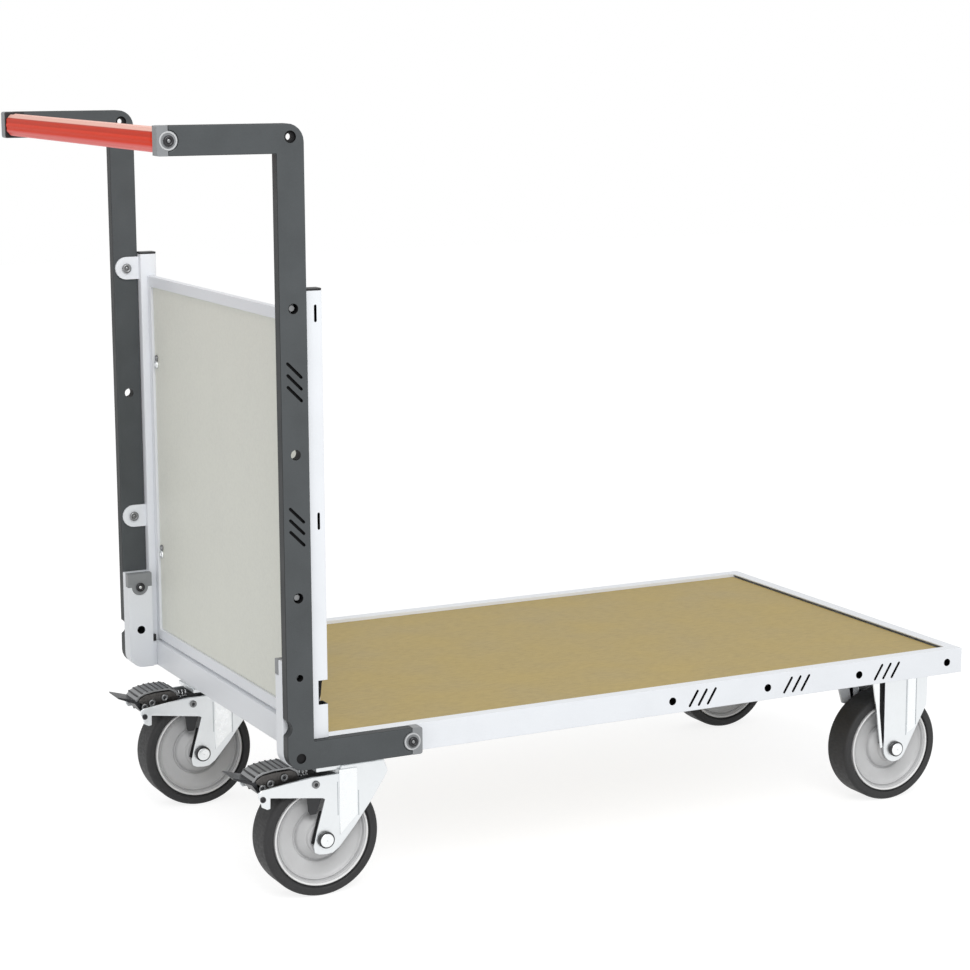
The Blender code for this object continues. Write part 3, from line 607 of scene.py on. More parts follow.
def extruded(name, outline, depth, material, radius, segments=2):
    """A plate in the XZ plane between two Y values, given in any order, with rounded edges."""
    shape = bmesh.new()
    low, high = sorted(depth)
    front = [shape.verts.new((x, low, z)) for x, z in outline]
    back = [shape.verts.new((x, high, z)) for x, z in outline]
    shape.faces.new(front)
    shape.faces.new(list(reversed(back)))
    for i in range(len(outline)):
        j = (i + 1) % len(outline)
        shape.faces.new((front[j], front[i], back[i], back[j]))
    bmesh.ops.recalc_face_normals(shape, faces=shape.faces)
    weight = shape.edges.layers.float.new("bevel_weight_edge")
    for edge in shape.edges:
        edge[weight] = 1.0 if edge.calc_face_angle(0) > SHARP else 0.0
    piece = mesh_from(name, shape, material)
    round_edges(piece, radius, segments)
    return piece


# %% Frame, deck and panel
for label in SIDES:
    softened("side_rail_" + label, white_coat, 0.0010, lining=shade_lining, pocket=0.0008)
    softened("corner_stub_" + label, white_coat, 0.0010, 3, lining=shade_lining)
    softened("stub_cap_" + label, cap_finish, 0.0012, 3)
    softened("upright_plug_" + label, black_plug_and_shade, 0.0007)
for label in ("handle", "open"):
    softened("end_rail_" + label, white_coat, 0.0010)
    softened("cross_member_" + label, white_coat, 0.0008)
softened("deck_board", deck_finish, 0.0008)
softened("panel_board", panel_finish, 0.0004)
softened("panel_frame", white_coat, 0.0010)

# %% [markdown]
# ## Uprights, brackets and caps
# An upright is a white square tube with two tabs that are screwed to the post beside it.
# The tube's inside is near-black painted shade, which is why its slots look black.
# The brackets are one Z-shaped profile each, from the grip down the post to the arm along the rail.

# %% Uprights, brackets and caps
POST_X = -0.436
LOW_HOLE_Z, HIGH_HOLE_Z = 0.211, 0.984
TUBE_WALL, TUBE_FOOT = 0.0009, 0.232
NOTCH_SHADE = [(-0.4085, 0.2760), (-0.4030, 0.2760), (-0.4000, 0.2850), (-0.3985, 0.3000),
          (-0.3965, 0.3085), (-0.4085, 0.3085)]
GAP_SHADE_PAD = [(-0.4179, 0.2313), (-0.4120, 0.2313), (-0.4120, 0.2410), (-0.4179, 0.2410)]
HIGH_HOLE_SHADE = [(0.0042, -0.0040, 0.0004), (0.0074, -0.0040, 0.0), (0.0074, 0.0040, 0.0), (0.0042, 0.0040, 0.0004)]
LOW_HOLE_SHADE = [(0.0002, -0.0006, 0.0), (0.0064, -0.0006, 0.0), (0.0064, 0.0006, 0.0), (0.0002, 0.0006, 0.0)]


def dark_sides(piece, material):
    """The sides of a plate that stands along XZ get a darker finish: painted shade."""
    piece.data.materials.append(material)
    for face in piece.data.polygons:
        if face.material_index == 0 and abs(face.normal.y) < 0.5:
            face.material_index = 2


def line_tube(piece, low, high):
    """The faces inside a tube between two corners get the second material, the painted shade lining."""
    for face in piece.data.polygons:
        if in_box(face.center, low, high):
            face.material_index = 1


for label, side in SIDES.items():
    post = softened("upright_" + label, white_coat, 0.0006, lining=shade_lining, holes=False)
    depth = (side * 0.2985, side * 0.3005)
    # A near-black plate behind the upright's notch is painted shade inside the tube.
    attach(extruded("upright_notch_shade_" + label, NOTCH_SHADE, depth, shade_lining, 0.0002), "upright_" + label)
    low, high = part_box("upright_plug_" + label)
    line_tube(post, (low.x + TUBE_WALL, low.y + TUBE_WALL, TUBE_FOOT),
              (high.x - TUBE_WALL, high.y - TUBE_WALL, high.z))
    bracket = "side_bracket_" + label
    dark_sides(softened(bracket, anthracite_coat, 0.0014, 2, lining=shade_lining), side_shade_coat)
    # A near-black disc in the bracket's lower hole and a near-black ring in its top hole are painted shade.
    at = (POST_X, side * 0.3168, LOW_HOLE_Z)
    attach(turned("corner_low_hole_shade_" + label, rounded_profile(LOW_HOLE_SHADE), at, shade_lining, 24), bracket)
    at = (POST_X, side * 0.3120, HIGH_HOLE_Z)
    attach(turned("corner_high_hole_shade_" + label, rounded_profile(HIGH_HOLE_SHADE), at, shade_lining, 32), bracket)
    # A black block in the gap between the upright's foot and the end rail is painted shade.
    depth = (side * 0.2862, side * 0.2914)
    attach(extruded("gap_shade_pad_" + label, GAP_SHADE_PAD, depth, black_plug_and_shade, 0.0005), "end_rail_handle")
    softened("handle_cap_" + label, cap_finish, 0.0014, 3)
    softened("pivot_cap_" + label, cap_finish, 0.0014, 3)

# %% [markdown]
# ## Geometry trees
# Screws, ridges, ribs and springs repeat, or follow a rule, so each one is a Geometry Nodes
# tree built in code. A tree has named inputs for its sizes, and ends by turning its instances
# into real mesh and setting the material. The result is kept as a plain mesh.

# %% Helpers for geometry trees
FLOAT, WHOLE, STUFF = "NodeSocketFloat", "NodeSocketInt", "NodeSocketMaterial"


def tree(name, **inputs):
    """A geometry tree, its input node and its output node; inputs are name=(kind, value)."""
    group = bpy.data.node_groups.new(name, "GeometryNodeTree")
    group.interface.new_socket("Geometry", in_out="INPUT", socket_type="NodeSocketGeometry")
    group.interface.new_socket("Geometry", in_out="OUTPUT", socket_type="NodeSocketGeometry")
    for label, (kind, value) in inputs.items():
        socket = group.interface.new_socket(label, in_out="INPUT", socket_type=kind)
        if value is not None:
            socket.default_value = value
    return group, group.nodes.new("NodeGroupInput"), group.nodes.new("NodeGroupOutput")


def maths(group, operation, first, second=0.0):
    """One step of arithmetic on one or two values."""
    return wire(group, "ShaderNodeMath", {0: first, 1: second}, operation=operation).outputs[0]


def product(group, first, *others):
    """The values multiplied together, from left to right."""
    for other in others:
        first = maths(group, "MULTIPLY", first, other)
    return first


def finish_tree(group, output, geometry, material):
    """Realizes the instances, sets the material and closes the tree."""
    real = wire(group, "GeometryNodeRealizeInstances", {0: geometry})
    smooth = wire(group, "GeometryNodeSetShadeSmooth", {0: real.outputs[0]})
    painted = wire(group, "GeometryNodeSetMaterial", {"Geometry": smooth.outputs[0], "Material": material})
    group.links.new(painted.outputs[0], output.inputs[0])


# %% Helpers that grow a piece from a tree
TREE_SHARP = math.radians(35)


def grown(name, group, start=None, **values):
    """Runs a tree on a start mesh and keeps the result as a plain mesh object."""
    seed = bpy.data.objects.new(name + "_seed", start or bpy.data.meshes.new(name + "_start"))
    bpy.context.scene.collection.objects.link(seed)
    grow = seed.modifiers.new("tree", "NODES")
    grow.node_group = group
    for item in group.interface.items_tree:
        if item.in_out == "INPUT" and item.name in values:
            grow[item.identifier] = values[item.name]
    bpy.context.view_layer.update()
    mesh = bpy.data.meshes.new_from_object(seed.evaluated_get(bpy.context.evaluated_depsgraph_get()))
    bpy.data.objects.remove(seed)
    mesh.set_sharp_from_angle(angle=TREE_SHARP)
    piece = bpy.data.objects.new(name, mesh)
    bpy.context.scene.collection.objects.link(piece)
    print(name, len(mesh.polygons), "faces")
    return piece


def spots(name, places):
    """A mesh of points, each with the direction it faces; places are (point, direction)."""
    mesh = bpy.data.meshes.new(name)
    mesh.from_pydata([point for point, _ in places], [], [])
    facing = mesh.attributes.new("facing", "FLOAT_VECTOR", "POINT")
    facing.data.foreach_set("vector", [v for _, direction in places for v in direction])
    return mesh


# %% [markdown]
# ## Grip
# The grip is a red plastic tube with twelve soft ridges along it. Its section is a rule: a
# rounded square whose radius rises and falls twelve times round. A cylinder's points are
# moved by that rule in one tree, and the height of the ridge is stored for the finish.

# %% Grip tree
group, given, result = tree(
    "ridged_grip", Length=(FLOAT, 0.6), Half_Depth=(FLOAT, 0.013), Half_Height=(FLOAT, 0.015),
    Ridges=(FLOAT, 12.0), Ridge_Height=(FLOAT, 0.03), Finish=(STUFF, None))
bar = wire(group, "GeometryNodeMeshCylinder",
           {"Vertices": 144, "Side Segments": 120, "Radius": 1.0, "Depth": 1.0})
spot = wire(group, "GeometryNodeInputPosition")
parts = wire(group, "ShaderNodeSeparateXYZ", {0: spot.outputs[0]})
x, y, z = parts.outputs
angle = maths(group, "ARCTAN2", y, x)
ridge = maths(group, "COSINE", product(group, angle, given.outputs["Ridges"]))
fourth = maths(group, "ADD", *(maths(group, "POWER", maths(group, "ABSOLUTE", v), 4.0) for v in (x, y)))
square = maths(group, "POWER", maths(group, "MAXIMUM", fourth, 0.001), -0.15)
section = maths(group, "ADD", square, product(group, ridge, given.outputs["Ridge_Height"]))
at_end = maths(group, "GREATER_THAN", maths(group, "ABSOLUTE", z), 0.498)
section = product(group, section, maths(group, "SUBTRACT", 1.0, product(group, at_end, 0.06)))
across = product(group, x, section, given.outputs["Half_Depth"])
along = product(group, z, given.outputs["Length"], -1.0)
upward = product(group, y, section, given.outputs["Half_Height"])
moved = wire(group, "ShaderNodeCombineXYZ", {0: across, 1: along, 2: upward})
marked = wire(group, "GeometryNodeStoreNamedAttribute",
              {"Geometry": bar.outputs[0], "Name": "crest", "Value": ridge},
              data_type="FLOAT", domain="POINT")
shaped = wire(group, "GeometryNodeSetPosition", {"Geometry": marked.outputs[0], "Position": moved.outputs[0]})
placed = wire(group, "GeometryNodeTransform",
              {"Geometry": shaped.outputs[0], "Translation": centre_of("handle_grip")})
finish_tree(group, result, placed.outputs[0], given.outputs["Finish"])
print("grip tree:", len(group.nodes), "nodes")

# %% Grip, flanges and rings
RING = [(0.0092, -0.0006, 0.0), (0.0112, -0.0006, 0.0), (0.0112, 0.0006, 0.0005), (0.0092, 0.0006, 0.0005)]
CAP_SHADE = [(-0.6035, 0.9645), (-0.5765, 0.9645), (-0.5765, 0.9995), (-0.6035, 0.9995)]
CAP_CENTRES = {"handle": (-0.590, 0.982), "pivot": (-0.282, 0.213)}
CAP_FACE = 0.320
low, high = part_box("handle_grip")
grip = grown("ridged_grip", group, Length=high.y - low.y, Half_Depth=0.0132, Half_Height=0.0150,
             Finish=grip_finish)
place(grip, "handle_grip")
softened("handle_tube", bright_finish, 0.0004)
for label, side in SIDES.items():
    # A thin black plate on each cap's inner side is painted shade where the grip meets the cap.
    depth = (side * 0.3028, side * 0.3037)
    attach(extruded("cap_shade_plate_" + label, CAP_SHADE, depth, black_plug_and_shade, 0.0003), "handle_cap_" + label)
    for end, (x, z) in CAP_CENTRES.items():
        at = (x, side * CAP_FACE, z)
        bead = turned(end + "_ring_" + label, rounded_profile(RING, side), at, boss_highlight, 40)
        attach(bead, end + "_cap_" + label)

# %% [markdown]
# ## Screws
# Every screw here is a socket screw, dark or grey: a rounded collar with a pin in its middle.
# One tree makes the whole screw, and a point with a direction says where each one sits. All
# the screws of one kind become one piece. The same tree makes rivets, clips and bosses.

# %% Screw tree
screw_tree, given, result = tree(
    "socket_screw", Head_Radius=(FLOAT, 0.0065), Head_Height=(FLOAT, 0.004), Shank_Radius=(FLOAT, 0.003),
    Shank_Length=(FLOAT, 0.014), Head_Finish=(STUFF, None), Pin_Finish=(STUFF, None))
radius, height = given.outputs["Head_Radius"], given.outputs["Head_Height"]
shank_radius, shank_length = given.outputs["Shank_Radius"], given.outputs["Shank_Length"]


def shifted(piece, length, share, **more):
    """The piece moved along the screw's axis by a share of a length."""
    shift = wire(screw_tree, "ShaderNodeCombineXYZ", {2: product(screw_tree, length, share)})
    return wire(screw_tree, "GeometryNodeTransform",
                {"Geometry": piece.outputs[0], "Translation": shift.outputs[0], **more})


def joined(pieces):
    """The pieces in one geometry."""
    whole = wire(screw_tree, "GeometryNodeJoinGeometry")
    for piece in pieces:
        screw_tree.links.new(piece.outputs[0], whole.inputs[0])
    return whole


def painted(piece, finish_name):
    """The piece in the finish of that input."""
    return wire(screw_tree, "GeometryNodeSetMaterial",
                {"Geometry": piece.outputs[0], "Material": given.outputs[finish_name]})


# %% Parts of a screw
path = wire(screw_tree, "GeometryNodeCurvePrimitiveCircle",
            {"Resolution": 32, "Radius": product(screw_tree, radius, 0.70)})
bead = wire(screw_tree, "GeometryNodeCurvePrimitiveCircle",
            {"Resolution": 12, "Radius": product(screw_tree, radius, 0.30)})
collar = wire(screw_tree, "GeometryNodeCurveToMesh",
              {"Curve": path.outputs[0], "Profile Curve": bead.outputs[0]})
disc = wire(screw_tree, "GeometryNodeMeshCylinder",
            {"Vertices": 28, "Radius": product(screw_tree, radius, 0.72),
             "Depth": product(screw_tree, height, 0.6)})
shank = wire(screw_tree, "GeometryNodeMeshCylinder",
             {"Vertices": 16, "Radius": shank_radius, "Depth": shank_length})
pin = wire(screw_tree, "GeometryNodeMeshUVSphere",
           {"Segments": 20, "Rings": 10, "Radius": product(screw_tree, radius, 0.38)})
head = joined([shifted(collar, height, 0.5), shifted(disc, height, 0.3), shifted(shank, shank_length, -0.5)])
pin = shifted(pin, height, 0.62, Scale=(1.0, 1.0, 0.35))
whole = joined([painted(head, "Head_Finish"), painted(pin, "Pin_Finish")])
print("a screw's parts: collar, disc, shank and pin")

# %% A screw on each point
facing = wire(screw_tree, "GeometryNodeInputNamedAttribute", {"Name": "facing"}, data_type="FLOAT_VECTOR")
turned_to = wire(screw_tree, "FunctionNodeAlignRotationToVector", {"Vector": facing.outputs[0]}, axis="Z")
points = wire(screw_tree, "GeometryNodeMeshToPoints", {"Mesh": given.outputs["Geometry"]})
set_in = wire(screw_tree, "GeometryNodeInstanceOnPoints",
              {"Points": points.outputs[0], "Instance": whole.outputs[0], "Rotation": turned_to.outputs[0]})
real = wire(screw_tree, "GeometryNodeRealizeInstances", {0: set_in.outputs[0]})
smooth = wire(screw_tree, "GeometryNodeSetShadeSmooth", {0: real.outputs[0]})
screw_tree.links.new(smooth.outputs[0], result.inputs[0])
print("screw tree:", len(screw_tree.nodes), "nodes")

# %% Screws on the push bar and the platform
HEAD_DEPTH = 0.0042


def screw_spot(node, way):
    """Where a screw's head sits: a head's depth in from the end of its node's box."""
    low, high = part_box(node)
    middle = (low + high) / 2
    seat = low.y + HEAD_DEPTH if way < 0 else high.y - HEAD_DEPTH
    return ((middle.x, seat, middle.z), (0.0, way, 0.0))


def screws(name, wanted, outward, **sizes):
    """One piece for the screws of a kind; outward is 1 if their heads face away from the cart."""
    ways = [outward * SIDES["near" if "near" in node else "far"] for node in wanted]
    places = [screw_spot(node, float(way)) for node, way in zip(wanted, ways)]
    place(grown(name, screw_tree, spots(name + "_spots", places), Head_Height=0.0040, **sizes), *wanted)


def both(start):
    """The nodes with that start on the near and the far side."""
    return [start + label for label in SIDES]


screws("handle_screws", both("handle_screw_"), 1, Head_Radius=0.0066, Shank_Length=0.030,
       Head_Finish=screw_finish, Pin_Finish=grey_steel_and_shade)
screws("tab_screws", [n for n in frame["nodes"] if n.startswith("tab_screw")], -1, Head_Radius=0.0068,
       Shank_Radius=0.0036, Head_Finish=grey_steel_and_shade, Pin_Finish=grey_steel_and_shade)
screws("pivot_screws", both("pivot_bolt_"), 1, Head_Radius=0.0066, Shank_Length=0.015,
       Head_Finish=screw_finish, Pin_Finish=grey_steel_and_shade)
screws("stub_screws", both("stub_screw_"), -1, Head_Radius=0.0066, Shank_Length=0.018,
       Head_Finish=screw_finish, Pin_Finish=bright_finish)

# %% Clips that hold the panel board
CLIP_Y = 0.2695
CLIP_HEIGHTS = (0.363, 0.640)
CLIP_SHADE_RISE = 0.0095


def studs(name, places, radius, height, head, pin, node, shank=0.003):
    """Small heads on thin shanks, added to the body of a node."""
    attach(grown(name, screw_tree, spots(name + "_spots", places), Head_Radius=radius, Head_Height=height,
                 Shank_Radius=0.002, Shank_Length=shank, Head_Finish=head, Pin_Finish=pin), node)


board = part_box("panel_board")[0].x
clips = [((board, side * CLIP_Y, z), (-1.0, 0.0, 0.0)) for side in (-1, 1) for z in CLIP_HEIGHTS]
# A grey stud just above each bright clip is painted shade.
clip_shades = [((x, y, z + CLIP_SHADE_RISE), way) for (x, y, z), way in clips]
studs("panel_clips", clips, 0.0058, 0.0030, bright_zinc_and_highlight, bright_zinc_and_highlight, "panel_frame", 0.005)
studs("panel_clip_shades", clip_shades, 0.0046, 0.0026, grey_steel_and_shade, zinc_finish, "panel_frame", 0.005)

# %% [markdown]
# ## Wheels
# A wheel is turned from a profile: a pale rim with a rounded lip, a sloping shoulder, a flat
# web and a hub, inside a rubber tyre with a crowned tread. The lip is a separate, paler ring:
# a painted highlight. The profile's corners are rounded first, because a moulded part has none that are
# sharp.

# %% Rims and tyres
TYRE = [(0.0663, -0.0200, 0.0), (0.0682, -0.0205, 0.0), (0.0684, -0.0232, 0.0006),
        (0.0700, -0.0240, 0.0010), (0.0770, -0.0238, 0.0020), (0.0800, -0.0205, 0.0030),
        (0.0800, 0.0205, 0.0030), (0.0770, 0.0238, 0.0020), (0.0700, 0.0240, 0.0010),
        (0.0684, 0.0232, 0.0006), (0.0682, 0.0205, 0.0), (0.0663, 0.0200, 0.0)]
RIM_SIDE = [(0.0085, 0.0265, 0.0006), (0.0205, 0.0265, 0.0015), (0.0225, 0.0215, 0.0010),
            (0.0232, 0.0215, 0.0003), (0.0320, 0.0135, 0.0020), (0.0332, 0.0085, 0.0010),
            (0.0350, 0.0085, 0.0010), (0.0365, 0.0120, 0.0015), (0.0550, 0.0130, 0.0050),
            (0.0585, 0.0175, 0.0020), (0.0594, 0.0150, 0.0004), (0.0602, 0.0150, 0.0004),
            (0.0612, 0.0195, 0.0010), (0.0622, 0.0200, 0.0004), (0.0655, 0.0200, 0.0006),
            (0.0660, 0.0190, 0.0004)]
RIM = RIM_SIDE + [(r, -a, fillet) for r, a, fillet in reversed(RIM_SIDE)]
LIP = [(0.0629, 0.0203, 0.0), (0.0657, 0.0203, 0.0), (0.0657, 0.0228, 0.0010), (0.0643, 0.0236, 0.0010),
       (0.0629, 0.0226, 0.0010)]
WHEELS = [kind + "_" + label for label in SIDES for kind in ("swivel", "fixed")]
for wheel in WHEELS:
    centre = centre_of("tyre_" + wheel)
    for part, profile, material in (("rim_", RIM, rim_finish), ("tyre_", TYRE, tyre_finish)):
        ring = turned(part + wheel + "_turned", rounded_profile(profile), centre, material)
        place(ring, part + wheel)
    for way, word in FACES:
        lip = turned("rim_lip_" + word + "_" + wheel, rounded_profile(LIP, way), centre, lip_highlight)
        attach(lip, "rim_" + wheel)
print("wheels", round(2 * max(r for r, _, _ in TYRE), 3), "m across:", *WHEELS)

# %% [markdown]
# ## Casters
# A caster's fork is pressed from zinc-plated sheet: two legs that hold the axle, and a crown
# over the tyre. A swivel fork's legs run on into an arm that carries the pedal. The outlines
# are cut as plates and rounded, because pressed sheet is a flat shape with soft edges.

# %% Caster plates, heads and forks
LEG_FACE, LEG_BACK = 0.0350, 0.0315
ARM_TOP = [(-0.4616, 0.1581), (-0.4306, 0.1623), (-0.3965, 0.1656), (-0.3592, 0.1660),
           (-0.3560, 0.1758), (-0.2955, 0.1758)]
LEG = [(-0.2905, 0.1600), (-0.2955, 0.1513), (-0.3134, 0.1247), (-0.3372, 0.0935), (-0.3609, 0.0666),
       (-0.3700, 0.0605), (-0.3784, 0.0596), (-0.3890, 0.0606), (-0.3950, 0.0637), (-0.3963, 0.0721),
       (-0.3922, 0.0908), (-0.3861, 0.1119), (-0.3799, 0.1340), (-0.3830, 0.1356), (-0.4549, 0.1458)]
HOOK = [(-0.4552, 0.1320), (-0.4594, 0.1311), (-0.4664, 0.1349), (-0.4680, 0.1420), (-0.4712, 0.1487),
        (-0.4712, 0.1545), (-0.4670, 0.1576)]
PLAIN_TIP = [(-0.4680, 0.1455), (-0.4712, 0.1500), (-0.4712, 0.1545), (-0.4670, 0.1576)]
CROWN = [(-0.3900, 0.1700), (-0.3900, 0.1759), (-0.2960, 0.1759), (-0.2940, 0.1700)]
LEG_GAP_SHADE = [(-0.4030, 0.1380), (-0.4015, 0.1190), (-0.3985, 0.1140), (-0.3900, 0.1140), (-0.3820, 0.1380)]
LEG_SHADE = [(-0.3875, 0.1180), (-0.3990, 0.0765), (-0.3950, 0.0740), (-0.3830, 0.1180)]
for label in SIDES:
    softened("swivel_plate_" + label, zinc_finish, 0.0010)
    softened("swivel_head_" + label, zinc_finish, 0.0008)
    softened("fixed_fork_" + label, zinc_finish, 0.0010, 3)
    middle = centre_of("tyre_swivel_" + label).y
    fork = "swivel_fork_" + label
    outline, depth = ARM_TOP + LEG + HOOK, (middle - LEG_FACE, middle - LEG_BACK)
    place(extruded(fork + "_front_leg", outline, depth, zinc_finish, 0.0010, 3), fork)
    outline, depth = ARM_TOP + LEG + PLAIN_TIP, (middle + LEG_BACK, middle + LEG_FACE)
    attach(extruded(fork + "_back_leg", outline, depth, zinc_finish, 0.0010, 3), fork)
    for word, outline, start, end, material, radius in (
            ("_crown", CROWN, -0.0314, 0.0314, zinc_finish, 0.0010),
            ("_gap_shade", LEG_GAP_SHADE, -0.0305, -0.0285, dark_shade_plastic, 0.0008),
            ("_shade", LEG_SHADE, -0.0310, -0.0306, shade_lining, 0.0001)):
        attach(extruded(fork + word, outline, (middle + start, middle + end), material, radius), fork)

# %% [markdown]
# Pressed bands and creases stiffen the legs. The bands stand proud in a brighter zinc, a painted
# highlight, and the creases are flat strips of darker zinc, painted shade. A fixed fork also has
# a narrow bright strip beside each leg, on the side of the handle, and a gusset behind them; the
# strip's brighter zinc is a painted highlight. A swivel fork has a rivet on each side and a pin
# near the tip of its arm.

# %% Bands, creases, strips and rivets on the forks
SWIVEL_BAND = [(-0.3600, 0.1715), (-0.3600, 0.0830), (-0.3345, 0.1080), (-0.3345, 0.1715)]
FIXED_BAND = [(0.5410, 0.1880), (0.5410, 0.1000), (0.5555, 0.1085), (0.5555, 0.1880)]
CREASES = {"swivel": [(-0.3620, 0.110, 0.155), (-0.3328, 0.106, 0.140)],
           "fixed": [(0.5396, 0.098, 0.185), (0.5568, 0.112, 0.185)]}
STRIP = [(0.4796, 0.1890), (0.4873, 0.1400), (0.4952, 0.0840), (0.4990, 0.0840), (0.4925, 0.1400),
         (0.4915, 0.1890)]
SHADE = [(0.4880, 0.1880), (0.4940, 0.0900), (0.5030, 0.0900), (0.5030, 0.1880)]
GUSSET = [(0.4640, 0.1890), (0.4655, 0.1630), (0.4725, 0.1390), (0.5000, 0.1300), (0.5030, 0.1890)]
BAND_RISE, CREASE_RISE, CREASE_HALF = 0.0012, 0.0003, 0.0006
SHEET = 0.0035
for label in SIDES:
    middle = centre_of("tyre_swivel_" + label).y
    swivel_fork, fixed_fork = "swivel_fork_" + label, "fixed_fork_" + label
    for way, word in FACES:
        face = middle + way * LEG_FACE
        root = face - way * 0.001
        tail = "_" + word + "_" + label
        proud = (root, face + way * BAND_RISE)
        attach(extruded("swivel_band" + tail, SWIVEL_BAND, proud, bright_zinc_and_highlight, 0.0010), swivel_fork)
        attach(extruded("fixed_band" + tail, FIXED_BAND, proud, bright_zinc_and_highlight, 0.0010), fixed_fork)
        # The creases are flat darker strips: painted shade.
        for kind, lines in CREASES.items():
            for number, (x, bottom, top) in enumerate(lines, 1):
                left, right = x - CREASE_HALF, x + CREASE_HALF
                outline = [(left, bottom), (right, bottom), (right, top), (left, top)]
                name = "{}_crease_{}{}".format(kind, number, tail)
                flush = (root, face + way * CREASE_RISE)
                attach(extruded(name, outline, flush, crease_shade, 0.0001), kind + "_fork_" + label)
        strip = (face - way * SHEET, face)
        attach(extruded("fixed_strip" + tail, STRIP, strip, bright_zinc_and_highlight, 0.0008), fixed_fork)
    inner, outer = middle + LEG_FACE, middle - LEG_FACE
    shade, gusset = (outer + 0.0040, outer + 0.0050), (inner - SHEET, inner)
    attach(extruded("fixed_shade_" + label, SHADE, shade, shade_lining, 0.0003), fixed_fork)
    attach(extruded("fixed_gusset_" + label, GUSSET, gusset, white_coat, 0.0008), fixed_fork)
    rivets = [((-0.3924, middle + way * LEG_FACE, 0.1555), (0.0, float(way), 0.0)) for way, _ in FACES]
    studs("fork_rivets_" + label, rivets, 0.0052, 0.0022, grey_steel_and_shade, screw_finish, swivel_fork)
    pin = [((-0.4655, outer, 0.1455), (0.0, -1.0, 0.0))]
    studs("arm_pin_" + label, pin, 0.0040, 0.0014, screw_finish, screw_finish, swivel_fork)
print("pressed bands stand", BAND_RISE * 1000, "mm proud of each leg")

# %% Axles and their ends
# A near-black ring round each axle cap is painted shade where the cap meets the leg.
AXLE_SHADE_RING = [(0.0050, 0.0352, 0.0), (0.0110, 0.0352, 0.0004), (0.0110, 0.0400, 0.0008), (0.0050, 0.0400, 0.0)]
CAP = [(0.0005, 0.0396, 0.0), (0.0092, 0.0396, 0.0006), (0.0090, 0.0412, 0.0010), (0.0060, 0.0417, 0.0020),
       (0.0005, 0.0419, 0.0)]
SHAFT = [(0.0005, -0.0380, 0.0), (0.0060, -0.0380, 0.0), (0.0060, 0.0380, 0.0), (0.0005, 0.0380, 0.0)]
for wheel in WHEELS:
    node = "axle_bolt_" + wheel
    centre = centre_of("tyre_" + wheel)
    place(turned("axle_" + wheel, rounded_profile(SHAFT), centre, bright_finish, 32), node)
    for way, word in FACES:
        for part, profile, material in (("collar", AXLE_SHADE_RING, dark_shade_plastic), ("cap", CAP, bright_zinc_and_highlight)):
            name = "axle_{}_{}_{}".format(part, word, wheel)
            attach(turned(name, rounded_profile(profile, way), centre, material, 32), node)
print("axles:", len(WHEELS))

# %% [markdown]
# ## Brake pedals
# A pedal is a pressed blade under an arched, ribbed pad, between two cheeks. It turns on a
# pin through the fork's arms and pushes on a coil spring. The ribs are rods laid along the
# pad's curve, and the spring is a wire swept round a spiral, so both are trees.

# %% Trees for ribs and springs
rib_tree, given, result = tree(
    "ribs_along_a_line", Ribs=(WHOLE, 9), Radius=(FLOAT, 0.0016), Length=(FLOAT, 0.038), Finish=(STUFF, None))
line = wire(rib_tree, "GeometryNodeMeshToCurve", {"Mesh": given.outputs["Geometry"]})
even = wire(rib_tree, "GeometryNodeCurveToPoints",
            {"Curve": line.outputs[0], "Count": given.outputs["Ribs"]}, mode="COUNT")
rod = wire(rib_tree, "GeometryNodeMeshCylinder",
           {"Vertices": 14, "Radius": given.outputs["Radius"], "Depth": given.outputs["Length"]})
laid = wire(rib_tree, "GeometryNodeTransform",
            {"Geometry": rod.outputs[0], "Rotation": (math.pi / 2, 0.0, 0.0)})
ribs = wire(rib_tree, "GeometryNodeInstanceOnPoints",
            {"Points": even.outputs["Points"], "Instance": laid.outputs[0]})
finish_tree(rib_tree, result, ribs.outputs[0], given.outputs["Finish"])

coil_tree, given, result = tree(
    "coil_spring", Turns=(FLOAT, 8.0), Radius=(FLOAT, 0.005), Wire=(FLOAT, 0.0009), Length=(FLOAT, 0.045),
    Finish=(STUFF, None))
spiral = wire(coil_tree, "GeometryNodeCurveSpiral",
              {"Resolution": 24, "Rotations": given.outputs["Turns"], "Start Radius": given.outputs["Radius"],
               "End Radius": given.outputs["Radius"], "Height": given.outputs["Length"]})
section = wire(coil_tree, "GeometryNodeCurvePrimitiveCircle",
               {"Resolution": 8, "Radius": given.outputs["Wire"]})
swept = wire(coil_tree, "GeometryNodeCurveToMesh",
             {"Curve": spiral.outputs[0], "Profile Curve": section.outputs[0], "Fill Caps": True})
points = wire(coil_tree, "GeometryNodeMeshToPoints", {"Mesh": given.outputs["Geometry"]})
lying = wire(coil_tree, "GeometryNodeTransform",
             {"Geometry": swept.outputs[0], "Rotation": (0.0, math.pi / 2, 0.0)})
springs = wire(coil_tree, "GeometryNodeInstanceOnPoints",
               {"Points": points.outputs[0], "Instance": lying.outputs[0]})
finish_tree(coil_tree, result, springs.outputs[0], given.outputs["Finish"])
print("rib tree:", len(rib_tree.nodes), "nodes; spring tree:", len(coil_tree.nodes), "nodes")

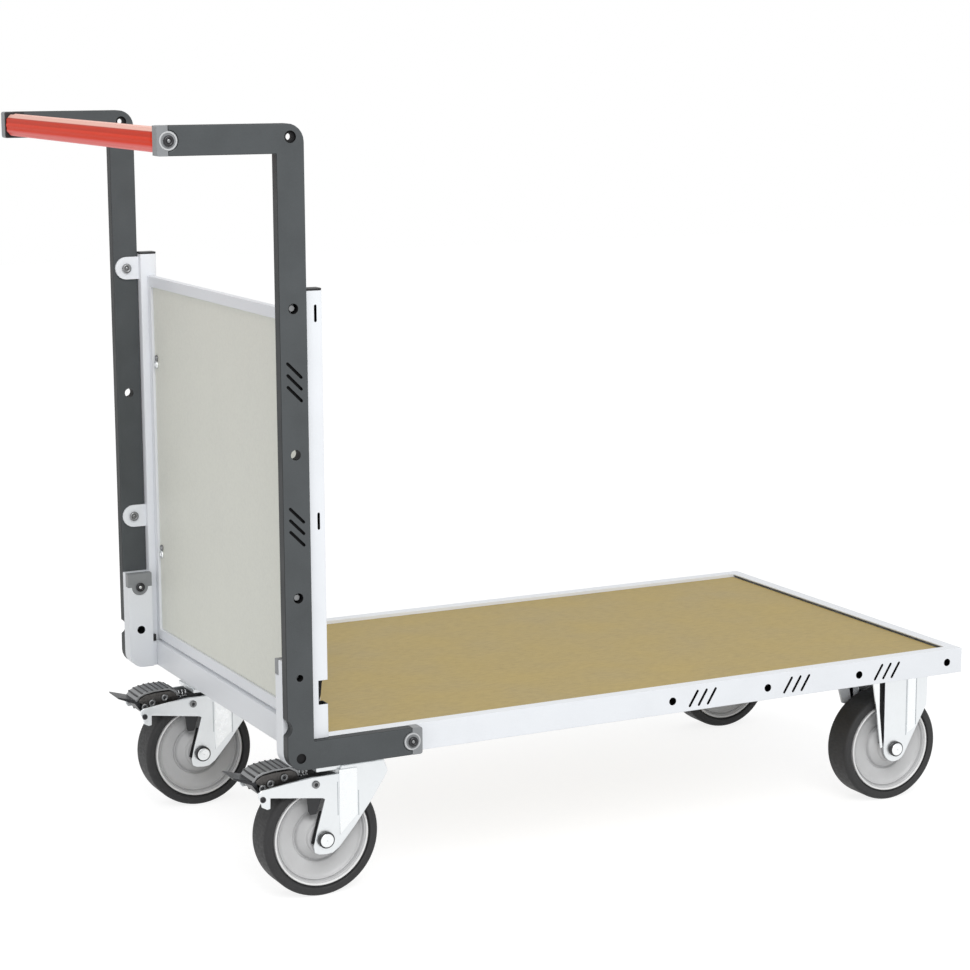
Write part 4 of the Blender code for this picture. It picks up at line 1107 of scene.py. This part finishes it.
# %% Pedals and springs
BLADE_HALF, PAD_HALF, CHEEK_INSIDE = 0.0200, 0.0208, 0.0180
BOSSES = [(-0.4490, 0.1610), (-0.4300, 0.1665), (-0.4600, 0.1560)]
BLADE = [(-0.5000, 0.1748), (-0.4990, 0.1722), (-0.4745, 0.1620), (-0.4650, 0.1480), (-0.4560, 0.1480),
         (-0.4600, 0.1580), (-0.4720, 0.1668), (-0.4860, 0.1708)]
PAD_TOP = [(-0.4745, 0.1662), (-0.4690, 0.1730), (-0.4600, 0.1770), (-0.4442, 0.1796), (-0.4215, 0.1798),
           (-0.4110, 0.1735), (-0.4085, 0.1660)]
PAD = PAD_TOP + [(-0.4110, 0.1655), (-0.4135, 0.1715), (-0.4225, 0.1768), (-0.4440, 0.1766),
                 (-0.4590, 0.1742), (-0.4670, 0.1706), (-0.4715, 0.1650)]
CHEEK = [(-0.4690, 0.1660), (-0.4640, 0.1450), (-0.4570, 0.1450), (-0.4090, 0.1580), (-0.4100, 0.1690),
         (-0.4215, 0.1750), (-0.4442, 0.1745), (-0.4600, 0.1720)]
for label in SIDES:
    pedal, spring = "brake_pedal_" + label, "brake_spring_" + label
    middle = centre_of(pedal).y
    blade, pad = (middle - BLADE_HALF, middle + BLADE_HALF), (middle - PAD_HALF, middle + PAD_HALF)
    place(extruded("pedal_blade_" + label, BLADE, blade, screw_finish, 0.0006), pedal)
    attach(extruded("pedal_pad_" + label, PAD, pad, grey_steel_and_shade, 0.0006), pedal)
    for way, word in FACES:
        cheek = (middle + way * CHEEK_INSIDE, middle + way * BLADE_HALF)
        attach(extruded("pedal_cheek_" + word + "_" + label, CHEEK, cheek, pedal_finish, 0.0006), pedal)
    path = bpy.data.meshes.new("pad_line_" + label)
    links = [(i, i + 1) for i in range(len(PAD_TOP) - 1)]
    path.from_pydata([(x, middle, z - 0.0003) for x, z in PAD_TOP], links, [])
    ribs = grown("pedal_ribs_" + label, rib_tree, path, Ribs=11, Radius=0.0014, Length=0.0410,
                 Finish=screw_finish)
    attach(ribs, pedal)
    bosses = [((x, middle - BLADE_HALF, z), (0.0, -1.0, 0.0)) for x, z in BOSSES]
    studs("pedal_bosses_" + label, bosses, 0.0052, 0.0020, grey_steel_and_shade, screw_finish, pedal)
    low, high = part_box(spring)
    start = ((low.x + 0.001, (low.y + high.y) / 2, (low.z + high.z) / 2), (1.0, 0.0, 0.0))
    coil = grown("coil_spring_" + label, coil_tree, spots("coil_spot_" + label, [start]), Turns=9.0,
                 Radius=0.0046, Wire=0.0009, Length=high.x - low.x - 0.002, Finish=bright_finish)
    place(coil, spring)
